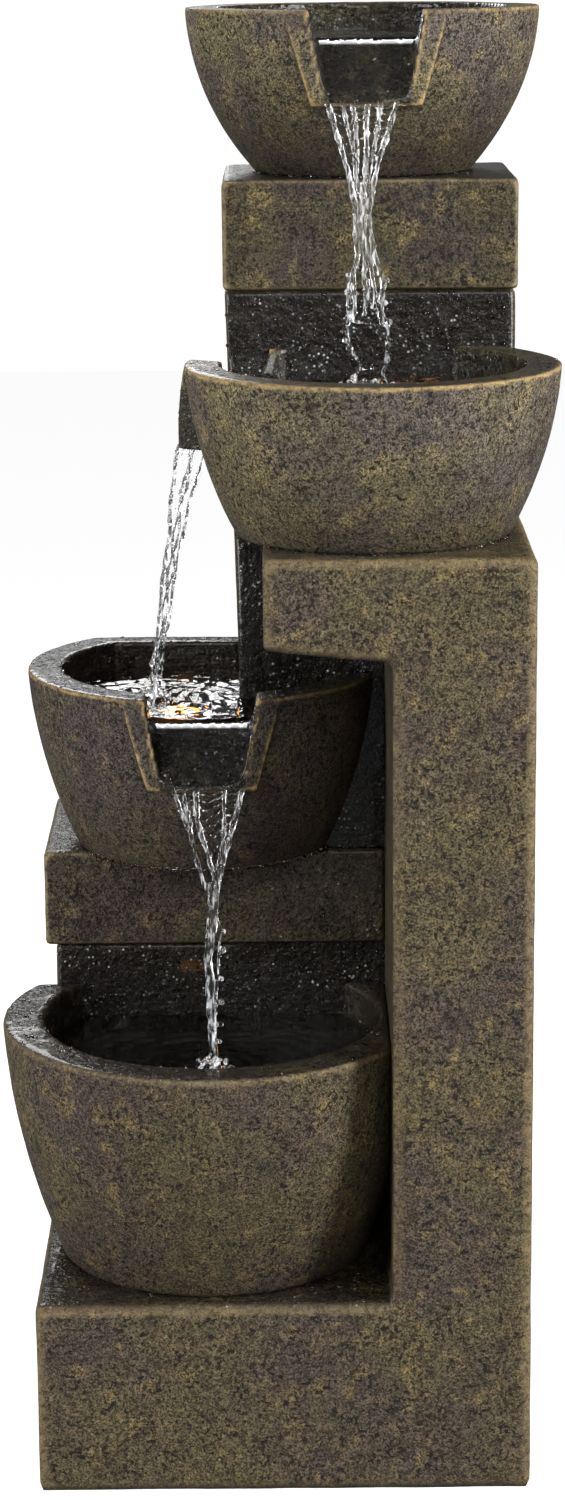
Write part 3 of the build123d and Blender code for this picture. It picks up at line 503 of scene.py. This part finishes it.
# Pump and water supply: a small submersible pump on suction cups in the sump, its
# impeller and magnet, the clear riser hose with its clips, and the inlet of the top bowl.
pump_plastic = plastic_finish("pump_plastic", (0.015, 0.016, 0.018), 0.38)
dial_plastic = plastic_finish("dial_plastic", (0.05, 0.12, 0.24), 0.4)
ferrite = plastic_finish("sintered_ferrite", (0.05, 0.05, 0.052), 0.55, 0.0003)
ceramic = plastic_finish("shaft_ceramic", (0.62, 0.6, 0.56), 0.22, 0.00004)
lead_jacket = plastic_finish("lead_jacket", (0.014, 0.014, 0.014), 0.5)
dress(pump_plastic, "pump_housing", "volute", "intake_cover", "lead_splitter")
dress(dial_plastic, "impeller", "flow_dial")
dress(ferrite, "rotor_magnet")
dress(ceramic, "impeller_shaft")
dress(soft_rubber, "shaft_bushes", "suction_cups", "inlet_washer")
dress(fitting_plastic, "bowl_inlet", "inlet_nut")
dress(lead_jacket, "pump_lead", "second_bowl_lead", "third_bowl_lead", "basin_lead")

clear_hose = bpy.data.materials.new("clear_hose")
clear_hose.use_nodes = True
hose_tree = clear_hose.node_tree
hose_shader = hose_tree.nodes["Principled BSDF"]
hose_place = put(hose_tree, "TexCoord").outputs["Object"]
hose_haze = cloud(hose_tree, hose_place, 0.009, 4.0)
hose_tint = wash(hose_tree, step(hose_tree, hose_haze, 0.35, 0.7),
                 (0.86, 0.9, 0.88, 1), (0.7, 0.76, 0.7, 1))
hose_tree.links.new(hose_tint, hose_shader.inputs["Base Color"])
hose_tree.links.new(step(hose_tree, hose_haze, 0.3, 0.7, 0.08, 0.3), hose_shader.inputs["Roughness"])
hose_shader.inputs["Transmission Weight"].default_value = 0.85
hose_shader.inputs["IOR"].default_value = 1.5
dress(clear_hose, "riser_hose")

plated_steel = bpy.data.materials.new("plated_steel")
plated_steel.use_nodes = True
steel_tree = plated_steel.node_tree
steel_shader = steel_tree.nodes["Principled BSDF"]
steel_place = put(steel_tree, "TexCoord").outputs["Object"]
steel_marks = cloud(steel_tree, steel_place, 0.0012, 4.0, 0.6, (1.0, 1.0, 6.0))
steel_tint = wash(steel_tree, step(steel_tree, steel_marks, 0.3, 0.7),
                  (0.46, 0.45, 0.43, 1), (0.62, 0.61, 0.58, 1))
steel_tree.links.new(steel_tint, steel_shader.inputs["Base Color"])
steel_tree.links.new(step(steel_tree, steel_marks, 0.3, 0.7, 0.24, 0.42), steel_shader.inputs["Roughness"])
steel_shader.inputs["Metallic"].default_value = 1.0
dress(plated_steel, "hose_clips", "door_screws")

# Service door: a textured plastic panel at the back, on a flat seal, with four screws,
# and the rubber grommet that the mains lead leaves through.
door_finish = plastic_finish("door_plastic", (0.05, 0.042, 0.032), 0.55, 0.0006)
dress(door_finish, "service_door")
dress(soft_rubber, "door_seal", "cord_grommet")

# Water in the bowls: a clear body that fills each bowl to just above its weir and is
# stirred into rings and chop where a stream falls into it.
water = bpy.data.materials.new("clear_water")
water.use_nodes = True
water_tree = water.node_tree
water_shader = water_tree.nodes["Principled BSDF"]
water_place = put(water_tree, "TexCoord").outputs["Object"]
water_ripple = cloud(water_tree, water_place, 0.006, 3.0, 0.5)
water_bump = put(water_tree, "Bump", {"Height": water_ripple, "Distance": 0.0006, "Strength": 0.6})
water_tree.links.new(water_bump.outputs["Normal"], water_shader.inputs["Normal"])
water_tree.links.new(step(water_tree, water_ripple, 0.3, 0.7, 0.0, 0.04), water_shader.inputs["Roughness"])
water_shader.inputs["Base Color"].default_value = (1, 1, 1, 1)
water_shader.inputs["Transmission Weight"].default_value = 1.0
water_shader.inputs["IOR"].default_value = 1.333


def water_profile(radius, foot, wall, floor, depth, level):
    """Half outline of the water in a bowl, as (radius, height) from the foot."""
    low, high = (foot - wall / 2, floor), (radius - wall, depth)
    mid = (0.905 * radius - 0.8 * wall, 0.45 * depth + floor / 4)
    shares = np.linspace(0, 1, 34)
    heights = np.linspace(level, floor, 6)

    def reach(z):
        """Radius of the bowl's inside at a height, on a parabola through three points."""
        a = low[0] * (z - mid[1]) * (z - high[1]) / ((low[1] - mid[1]) * (low[1] - high[1]))
        b = mid[0] * (z - low[1]) * (z - high[1]) / ((mid[1] - low[1]) * (mid[1] - high[1]))
        c = high[0] * (z - low[1]) * (z - mid[1]) / ((high[1] - low[1]) * (high[1] - mid[1]))
        return a + b + c + 0.8

    edge = reach(level)
    return [(share * edge, level) for share in shares] + [(reach(z), z) for z in heights[1:]] + [(0, floor)]


def pool(name, centre, foot_z, sizes, falls, cuts, chop):
    """Water in one bowl: spun, cut where the bowl is cut, and stirred round each fall.

    sizes holds the bowl's radius, foot radius, wall, floor and depth, and the water's level,
    falls lists where streams land and how hard, and cuts lists planes that end the water.
    """
    radius, foot, wall, floor, depth, level = sizes
    body = bmesh.new()
    line = [body.verts.new((centre.x + r, centre.y, foot_z + z)) for r, z in
            water_profile(radius, foot, wall, floor, depth, level)]
    rims = [body.edges.new(pair) for pair in zip(line, line[1:])]
    bmesh.ops.spin(body, geom=line + rims, cent=(centre.x, centre.y, 0), axis=(0, 0, 1), angle=2 * pi,
                   steps=140, use_merge=True)
    bmesh.ops.remove_doubles(body, verts=body.verts, dist=0.01)
    for where, along in cuts:
        whole = body.verts[:] + body.edges[:] + body.faces[:]
        cut = bmesh.ops.bisect_plane(body, geom=whole, plane_co=where, plane_no=along, clear_outer=True)
        open_rim = [item for item in cut["geom_cut"] if isinstance(item, bmesh.types.BMEdge)]
        bmesh.ops.holes_fill(body, edges=open_rim, sides=0)
    bmesh.ops.recalc_face_normals(body, faces=body.faces)
    surface = foot_z + level
    for vert in body.verts:
        if abs(vert.co.z - surface) > 0.01:
            continue
        lift = 0.12 * noise.noise(vert.co * 0.06)
        for spot_x, spot_y, force in falls:
            gap = np.hypot(vert.co.x - spot_x, vert.co.y - spot_y)
            fade = np.exp(-gap / 42)
            lift += force * fade * (0.55 * sin(gap / 2.1) + chop * noise.noise(vert.co * 0.16)
                                    + 0.5 * chop * noise.noise(vert.co * 0.37))
        vert.co.z += lift
    bmesh.ops.scale(body, vec=(mm, mm, mm), verts=body.verts)
    mesh = bpy.data.meshes.new(name)
    body.to_mesh(mesh)
    body.free()
    mesh.shade_smooth()
    return shown(name, mesh, water, "fountain")


top_foot = 77.0
bowl_foot = 95.0
basin_foot = 110.7
bowl_floor = 18.0
basin_floor = 20.0
below_rim = 18.6
third_below_rim = 18.4
basin_below_rim = 26.0
column_width = 96.6
left_wall = 7.6
gap_to_wall = 0.6
top_depth = top_high.z - top_low.z
second_depth = second_high.z - second_low.z
third_depth = third_high.z - third_low.z
basin_depth = basin_high.z - basin_low.z
front_cut = ((0, rear_low.y - 0.2, 0), (0, 1, 0))
column_cut = ((frame_high.x - column_width, 0, 0), (1, 0, 0))
left_face = (rear_low.x + left_wall, 0, 0)
back_cut = ((0, third_high.y - 0.85 * ring + gap_to_wall, 0), (0, 1, 0))
top_sizes = (top_radius, top_foot, ring, bowl_floor, top_depth, top_depth - below_rim)
second_sizes = (middle_radius, bowl_foot, ring, bowl_floor, second_depth, second_depth - below_rim)
third_sizes = (middle_radius, bowl_foot, ring, bowl_floor, third_depth, third_depth - third_below_rim)
basin_sizes = (basin_radius, basin_foot, basin_ring, basin_floor, basin_depth, basin_depth - basin_below_rim)
third_falls = [(-84, 8, 2.6)]
pool("top_bowl_water", top_centre, top_low.z, top_sizes, [(top_centre.x, top_centre.y, 0.9)], [], 1.2)
pool("second_bowl_water", second_centre, second_low.z, second_sizes, [(56, -66, 2.2), (78, -66, 2.2)],
     [front_cut], 1.6)
pool("basin_water", basin_centre, basin_low.z, basin_sizes, [(-47, -112, 2.0)], [front_cut, column_cut], 1.4)
pool("third_bowl_water_left", third_centre, third_low.z, third_sizes, third_falls,
     [back_cut, (left_face, (1, 0, 0))], 1.8)
pool("third_bowl_water_right", third_centre, third_low.z, third_sizes, third_falls,
     [front_cut, (left_face, (-1, 0, 0))], 1.8)


# Falling water: each spout lets go of a clear sheet that draws together into a rope of
# twisting strands, splits into beads, and throws up a small crown where it lands.
# Streaks drawn out along the fall and a line at each weir crest glow through the water's emission: painted
# highlights.
stream_water = water.copy()
stream_water.name = "water_with_painted_streaks"
stream_tree = stream_water.node_tree
stream_place = put(stream_tree, "TexCoord").outputs["Object"]
painted_streak_pattern = cloud(stream_tree, stream_place, 0.0021, 3.0, 0.55, (1.0, 1.0, 0.16))
glints = cloud(stream_tree, stream_place, 0.0045, 2.0, 0.5, (1.0, 1.0, 0.4))
free_fall = put(stream_tree, "Attribute", attribute_name="falling").outputs["Fac"]
painted_crest_line = put(stream_tree, "Attribute", attribute_name="crest_highlight").outputs["Fac"]
# Painted highlights: streaks along the fall and a line at the weir crest, glowing in the emission colour.
painted_streak_glow = combine(stream_tree, step(stream_tree, painted_streak_pattern, 0.5, 0.66),
                step(stream_tree, glints, 0.36, 0.6, 0.15, 1.0))
painted_streak_glow = combine(stream_tree, combine(stream_tree, painted_streak_glow, free_fall), painted_crest_line, "MAXIMUM")
stream_shader = stream_tree.nodes["Principled BSDF"]
bump_height = stream_tree.nodes["Bump"].inputs["Height"]
stream_tree.links.new(combine(stream_tree, bump_height.links[0].from_socket, free_fall), bump_height)
stream_tree.links.new(wash(stream_tree, painted_streak_glow, (0.0, 0.0, 0.0, 1), (0.78, 0.8, 0.82, 1)),
                      stream_shader.inputs["Emission Color"])
stream_shader.inputs["Emission Strength"].default_value = 0.8
stream_voxel = 0.85 * mm
chute_film = 1.1


def strand(body, track, places, offsets, girth, wobble, seed):
    """Tube of water that follows a track, with a girth that swells and pinches."""
    loop = bmesh.ops.create_circle(body, segments=8, radius=1.0)["verts"]
    shares = np.linspace(places[0], places[-1], max(10, int(190 * (places[-1] - places[0]))))
    shape = [vert.co.copy() for vert in loop]
    ends = []
    for count, share in enumerate(shares):
        if count:
            rims = [edge for edge in body.edges if edge.verts[0] in loop and edge.verts[1] in loop]
            made = bmesh.ops.extrude_edge_only(body, edges=rims)["geom"]
            grown = [item for item in made if isinstance(item, bmesh.types.BMVert)]
            order = {vert: [e.other_vert(vert) for e in vert.link_edges if e.other_vert(vert) in loop][0]
                     for vert in grown}
            loop = sorted(grown, key=lambda vert: loop.index(order[vert]))
        across = float(np.interp(share, places, offsets))
        swell = girth * (1 + 0.45 * noise.noise(Vector((seed * 7.1, share * 34, 0.3))))
        swell *= 1 - 0.25 * share
        sway_x = noise.noise(Vector((share * 9, seed, 1.7)))
        sway = Vector((sway_x, noise.noise(Vector((seed, share * 9, 4.2))), 0))
        centre = track(share, across) + sway * wobble
        for vert, corner in zip(loop, shape):
            vert.co = centre + corner * swell
        if count in (0, len(shares) - 1):
            ends.append(list(loop))
    for rim in ends:
        body.faces.new(rim)


def bead(body, centre, radius, flatness=1.0):
    """Round drop."""
    ball = bmesh.ops.create_icosphere(body, subdivisions=2, radius=radius)["verts"]
    bmesh.ops.scale(body, vec=(1, 1, flatness), verts=ball)
    bmesh.ops.translate(body, vec=centre, verts=ball)


def film(body, track, places, left, right, thickness):
    """Thin sheet of water between two edges of a stream."""
    grid = bmesh.ops.create_grid(body, x_segments=14, y_segments=59, size=0.5)["verts"]
    for vert in grid:
        share = places[0] + (places[-1] - places[0]) * (vert.co.y + 0.5)
        edge_left, edge_right = (float(np.interp(share, places, edge)) for edge in (left, right))
        across = edge_left + (edge_right - edge_left) * (vert.co.x + 0.5)
        ruck = 1.1 * noise.noise(Vector((vert.co.x * 9, share * 4, 0.6)))
        vert.co = track(share, across) + Vector((0, ruck, 0))
    faces = {face for vert in grid for face in vert.link_faces}
    bmesh.ops.solidify(body, geom=list(faces), thickness=thickness)


def stream(name, lip, outward, drop, reach, parts, sheets, drops, crown):
    """One falling stream, melted together from its sheets, strands and drops.

    A place along it is a share of the fall, from -1 at the weir and 0 at the lip to 1 where it
    lands, and a place across it is in millimetres from its middle. parts lists strands (shares,
    places across, girth, sway), sheets lists films (shares, left edge, right edge, thickness),
    drops lists beads (share, place across, radius), and crown is the splash (place across,
    radius).
    """
    out = Vector((cos(radians(outward)), sin(radians(outward)), 0))
    side = Vector((-out.y, out.x, 0))
    if side.x < 0:
        side = -side

    def track(share, across):
        """Point of the stream at a share of its fall and a place across it."""
        if share < 0:
            down = Vector((0, 0, chute_film - share * chute_drop))
            return lip + side * across + out * (share * chute_run) + down
        return lip + side * across + out * (reach * share ** 0.7) + Vector((0, 0, -drop * share))

    body = bmesh.new()
    for index, (places, offsets, girth, wobble) in enumerate(parts):
        strand(body, track, places, offsets, girth, wobble, index + drop)
    for places, left, right, thickness in sheets:
        film(body, track, places, left, right, thickness)
    chance = random.Random(int(drop))
    for share, across, size in drops:
        bead(body, track(share, across) + Vector((0, chance.uniform(-2, 2), 0)), size)
    landing = track(1.0, crown[0])
    for _ in range(46):
        turn, away = chance.uniform(0, 2 * pi), chance.uniform(2, crown[1])
        rise = chance.uniform(-1, 9) * (1 - away / (crown[1] * 1.3))
        splash = landing + Vector((away * cos(turn), 0.8 * away * sin(turn), rise))
        bead(body, splash, chance.uniform(0.9, 2.3))
    bmesh.ops.scale(body, vec=(mm, mm, mm), verts=body.verts)
    loose = bpy.data.meshes.new(name + "_loose")
    body.to_mesh(loose)
    body.free()
    mesh = applied(loose, stream_voxel, 0.5, 2)
    count = len(mesh.vertices)
    points, facing = np.empty(count * 3), np.empty(count * 3)
    mesh.vertices.foreach_get("co", points)
    mesh.vertex_normals.foreach_get("vector", facing)
    points, facing = points.reshape(-1, 3), facing.reshape(-1, 3)
    height = points[:, 2] / mm - lip.z
    falling = soft_step(height, 1, -7)
    for index in range(count):
        x, y, z = points[index]
        ripple = noise.noise(Vector((x * 420, y * 420, z * 70)))
        points[index] += facing[index] * 0.45 * mm * falling[index] * ripple
    mesh.vertices.foreach_set("co", points.ravel())
    # Painted highlight: a glowing line along the weir crest.
    crest_highlight = soft_step(height, chute_drop - 2.8, chute_drop - 1.4)
    crest_highlight = crest_highlight * soft_step(height, chute_drop + 2, chute_drop + 0.6)
    for title, values in (("falling", falling), ("crest_highlight", crest_highlight)):
        mesh.attributes.new(title, "FLOAT", "POINT").data.foreach_set("value", values.astype(np.float32))
    mesh.update()
    return shown(name, mesh, stream_water, "fountain")


top_lip = Vector((top_centre.x, top_centre.y - top_radius - lip_overhang, top_high.z - lip_depth))
top_drop = top_lip.z - (second_high.z - below_rim)
left_places = (0, .09, .23, .32, .4, .47, .54, .63, .73, .8, .86, .92, 1)
left_edge = (-27, -21.7, -13.4, -10, -7.8, -8.5, -6.4, -13.4, -14, -14.7, -11.3, -5, -13)
right_places = (0, .09, .18, .25, .37, .47, .56, .63, .73, .78, .85, .91, .95, 1)
right_edge = (21.3, 15.7, 8.8, 6, 1.9, 2.6, 7.4, 10.9, 9.5, 13.7, 13, 12.3, 8.8, 12.3)
stream("top_stream", top_lip, -90, top_drop, 19,
       [(left_places, left_edge, 1.9, 1.2),
        (right_places, right_edge, 1.9, 1.2),
        ((0, .2, .35, .5, .7, .78), (-18, -9, -3, 1, 5, 10), 1.2, 2.4),
        ((0, .15, .3, .45, .6, .76), (-10, -8, -6, -4, -9, -11), 1.3, 2.4),
        ((0, .18, .32, .5, .74), (1, -1, -3, 0, -4), 1.5, 2.4),
        ((0, .16, .3, .5, .72), (10, 4, 0, -3, 3), 1.3, 2.4),
        ((.34, .45, .6), (-6, 0, 8), 1.6, 1.6),
        ((.34, .45, .62), (1, -5, -12), 1.6, 1.6),
        ((.76, .775, .785), (-14, 0, 12), 1.7, 0.6),
        ((.93, .945, .94), (-6, 1, 9), 1.9, 0.6)],
       [((-1, -0.5, 0, .09, .23, .32, .4, .47), (-33, -30, -27, -21.7, -13.4, -10, -7.8, -8.5),
         (33, 28, 21.3, 16, 7, 4, 2, 2.6), 1.5),
        ((.47, .54, .63, .73, .77), (-8.5, -6.4, -12.4, -13, -13), (2.6, 6, 9.5, 9, 11), 1.4)],
       [(.6, -13.5, 2.3), (.66, -15, 1.8), (.7, 12, 2.0), (.77, 14.5, 2.8), (.83, -15.5, 2.8),
        (.84, 15.5, 2.6), (.86, -13, 2.4), (.9, 13, 2.5), (.965, -10, 2.4), (.5, 6, 1.4), (.93, 3, 1.8),
        (.8, -18, 1.3), (.62, 14, 1.4)],
       (1, 24))
second_out = Vector((cos(radians(second_spout_angle)), sin(radians(second_spout_angle))))
second_edge = second_centre + second_out * (middle_radius + lip_overhang)
second_lip = Vector((second_edge.x, second_edge.y, second_high.z - lip_depth))
second_drop = second_lip.z - (third_high.z - third_below_rim)
stream("second_stream", second_lip, second_spout_angle, second_drop, 43,
       [((0, .15, .36, .52, .66, .85, 1), (-26, -19, -10, -9, -6, -8, -5), 1.5, 1.8),
        ((0, .15, .36, .52, .66, .85, 1), (20, 14, 10, 7, 7, 5, 6), 1.5, 1.8),
        ((0, .2, .36, .5, .66, .8, 1), (-8, 4, -6, 5, -4, 5, -3), 1.3, 2.0),
        ((0, .2, .36, .5, .66, .8, 1), (4, -6, 6, -5, 5, -4, 3), 1.3, 2.0)],
       [((-1, -0.5, 0, .15, .36, .52, .66, .85, 1), (-32, -29, -26, -19, -10, -9, -6, -8, -5),
         (32, 27, 20, 14, 10, 7, 7, 5, 6), 1.3)],
       [(.55, -11, 1.2), (.7, 9, 1.3), (.86, -9, 1.8), (.93, 6, 2.4), (.97, -6, 2.8), (.98, 8, 2.6),
        (.95, 0, 2.6)],
       (-1, 21))
third_lip = Vector((third_centre.x, third_low.y, third_high.z - lip_depth))
third_drop = third_lip.z - (basin_high.z - basin_below_rim)
stream("third_stream", third_lip, -90, third_drop, 18,
       [((0, .07, .156, .26, .37), (-20, -15, -7.5, -3, 4), 1.8, 0.7),
        ((0, .072, .156, .23, .31, .4), (29, 24.8, 20.7, 16, 12.5, 9), 1.9, 0.7),
        ((0, .1, .156, .24, .31, .38), (-4, -3, -1, 4.4, 7.8, 7), 1.7, 0.9),
        ((0, .12, .24, .34), (16, 15, 13, 9), 1.2, 1.6),
        ((0, .08, .15), (-12, -10, -8), 1.2, 0.9),
        ((.32, .4, .59, .77, .95, 1), (7, 6, 3, 4, 5, 5), 2.9, 1.2),
        ((.36, .45, .59, .77, .95, 1), (10, 9, 5, 7, 8, 8), 2.0, 1.8),
        ((.42, .5, .56, .7, .85), (8, 13.5, 11, 10, 8), 1.1, 1.0)],
       [((-1, -0.5, 0, .07, .15), (-33, -27, -20, -15, -9), (-3, -3, -4, -4, -6), 1.4),
        ((-1, -0.5, 0, .1, .156, .24, .31), (-3, -3, -4, -3, -1, 4.4, 8),
         (33, 31, 29, 23, 20.7, 15, 12), 1.4)],
       [(.5, 14.5, 2.1), (.57, 13.5, 2.7), (.67, 12.5, 2.2), (.76, 12.5, 2.4), (.84, 11.5, 2.2),
        (.9, 11, 1.8), (.71, 13.5, 1.4), (.97, 2, 2.6), (.98, 9, 2.4)],
       (5, 18))


# Water at the feet: a thin broken line of water that lies in the joint between a bowl
# and the ledge under it.
def foot_line(name, centre, reach, ledge, first, last, seed):
    """Flattened beads run together along an arc, given in degrees, at the foot of a bowl."""
    chance = random.Random(seed)
    body = bmesh.new()
    turn = first
    while turn < last:
        away = reach + chance.uniform(0.3, 1.8)
        spot = Vector((away * cos(radians(turn)), away * sin(radians(turn)), ledge + 0.4))
        spot += centre.to_3d()
        bead(body, spot, chance.uniform(1.1, 2.5), 0.7)
        turn += chance.choice((0.7, 0.8, 0.9, 1.0, 2.6))
    bmesh.ops.scale(body, vec=(mm, mm, mm), verts=body.verts)
    loose = bpy.data.meshes.new(name + "_loose")
    body.to_mesh(loose)
    body.free()
    return shown(name, applied(loose, 0.6 * mm, 0.5, 2), water, "fountain")


foot_line("top_bowl_foot_water", top_centre, top_foot, top_low.z, -172, -8, 5)
foot_line("second_bowl_foot_water", second_centre, bowl_foot, second_low.z, -138, -12, 6)
foot_line("third_bowl_foot_water", third_centre, bowl_foot, third_low.z, -150, -20, 7)

# Drops: beads of splashed water that cling to the wet faces and rims round the streams,
# flattened against the skin by their own wetting and thickest near each landing.
drop_chance = random.Random(31)


def clinging_drops(name, casting_name, amount, near, smallest, largest):
    """Flattened beads on the wettest, front- and upward-facing skin of a casting.

    near is the place where they lie thickest and their reach from it, in millimetres.
    """
    skin = bpy.data.objects[casting_name].data
    damp = np.empty(len(skin.vertices), dtype=np.float32)
    skin.attributes["wet"].data.foreach_get("value", damp)
    chosen = []
    for index in drop_chance.sample(range(len(skin.vertices)), min(len(skin.vertices), 60000)):
        vert = skin.vertices[index]
        gap = (vert.co / mm - near[0]).length / near[1]
        if damp[index] > 0.4 and vert.normal.z - vert.normal.y > 0.45 and drop_chance.random() > gap:
            chosen.append(vert)
            if len(chosen) == amount:
                break
    body = bmesh.new()
    for vert in chosen:
        size = drop_chance.uniform(smallest, largest)
        ball = bmesh.ops.create_icosphere(body, subdivisions=2, radius=size * mm)["verts"]
        turn = vert.normal.to_track_quat("Z", "Y").to_matrix().to_4x4()
        squash = Matrix.Diagonal((1, drop_chance.uniform(1, 1.35), 0.55, 1))
        bmesh.ops.transform(body, matrix=Matrix.Translation(vert.co) @ turn @ squash, verts=ball)
    mesh = bpy.data.meshes.new(name)
    body.to_mesh(mesh)
    body.free()
    mesh.shade_smooth()
    return shown(name, mesh, water, "fountain")


clinging_drops("rear_column_drops", "rear_column_cast", 520, (Vector((60, 9, 790)), 170), 0.6, 1.5)
clinging_drops("basin_back_drops", "rear_column_cast", 420, (Vector((-40, 9, 325)), 175), 0.6, 1.5)
clinging_drops("lower_block_drops", "lower_block_cast", 110, (Vector((-30, 0, 370)), 130), 0.5, 1.2)
clinging_drops("second_bowl_drops", "second_bowl_cast", 260, (Vector((66, -60, 780)), 190), 0.6, 1.5)
clinging_drops("third_bowl_drops", "third_bowl_cast", 320, (Vector((-84, 10, 545)), 170), 0.6, 1.6)
clinging_drops("basin_drops", "bottom_basin_cast", 360, (Vector((-60, -110, 310)), 200), 0.6, 1.7)

# Studio: a pale seamless floor, two tall softboxes and a broad front light. The lights
# are kept low overhead, so that undersides fall off into shade.
floor_body = bmesh.new()
bmesh.ops.create_grid(floor_body, x_segments=1, y_segments=1, size=6)
floor_mesh = bpy.data.meshes.new("studio_floor")
floor_body.to_mesh(floor_mesh)
floor_body.free()
studio_floor = bpy.data.objects.new("studio_floor", floor_mesh)
bpy.context.scene.collection.objects.link(studio_floor)
floor_finish = bpy.data.materials.new("pale_floor")
floor_finish.use_nodes = True
floor_tree = floor_finish.node_tree
floor_shader = floor_tree.nodes["Principled BSDF"]
floor_shader.inputs["Base Color"].default_value = (0.34, 0.34, 0.34, 1)
floor_shader.inputs["Emission Color"].default_value = (1, 1, 1, 1)
floor_shader.inputs["Roughness"].default_value = 0.9
floor_tree.links.new(combine(floor_tree, put(floor_tree, "LightPath").outputs["Is Camera Ray"], 0.9),
                     floor_shader.inputs["Emission Strength"])
floor_mesh.materials.append(floor_finish)


def softbox(name, place, target, width, height, power):
    """Rectangular area light aimed at a point, in metres and watts."""
    lamp = bpy.data.lights.new(name, "AREA")
    lamp.shape = "RECTANGLE"
    lamp.size, lamp.size_y, lamp.energy = width, height, power
    holder = bpy.data.objects.new(name, lamp)
    holder.location = place
    holder.rotation_euler = (Vector(target) - Vector(place)).to_track_quat("-Z", "Y").to_euler()
    bpy.context.scene.collection.objects.link(holder)


softbox("key_light", (2.0, -1.0, 1.3), (0, 0, 0.7), 0.7, 1.9, 92)
softbox("fill_light", (-2.0, -1.1, 1.0), (0, 0, 0.55), 0.7, 1.9, 60)
softbox("front_light", (0.5, -3.0, 2.0), (0, 0, 0.5), 1.6, 1.2, 34)
softbox("back_light", (-0.6, 2.0, 1.7), (0, 0, 0.6), 1.2, 1.2, 30)

surround = bpy.data.worlds.new("studio")
bpy.context.scene.world = surround
surround.use_nodes = True
sky = surround.node_tree.nodes["Background"]
sky.inputs["Color"].default_value = (1, 1, 1, 1)
path = put(surround.node_tree, "LightPath").outputs
bounced = combine(surround.node_tree, path["Diffuse Depth"], path["Glossy Depth"], "ADD")
straight = step(surround.node_tree, bounced, 0.0, 1.0, 1.0, 0.0)
through = combine(surround.node_tree, path["Is Transmission Ray"], straight)
either = combine(surround.node_tree, path["Is Camera Ray"], through, "MAXIMUM")
surround.node_tree.links.new(step(surround.node_tree, either, 0.0, 1.0, 0.12, 1.05), sky.inputs["Strength"])

lens = bpy.data.cameras.new("camera")
lens.sensor_width = 36
lens.lens = 82.55
lens.clip_end = 60
look_down = 13.63
pan = 0.03
roll = -0.49
standpoint = Matrix.Translation((0.00596, -2.4328, 1.08305))
tilt = Matrix.Rotation(radians(90 - look_down), 4, "X")
camera = bpy.data.objects.new("camera", lens)
camera.matrix_world = (standpoint @ Matrix.Rotation(radians(pan), 4, "Z") @ tilt
                       @ Matrix.Rotation(radians(roll), 4, "Z"))
bpy.context.scene.collection.objects.link(camera)
bpy.context.scene.camera = camera
bpy.context.scene.view_settings.view_transform = "Standard"
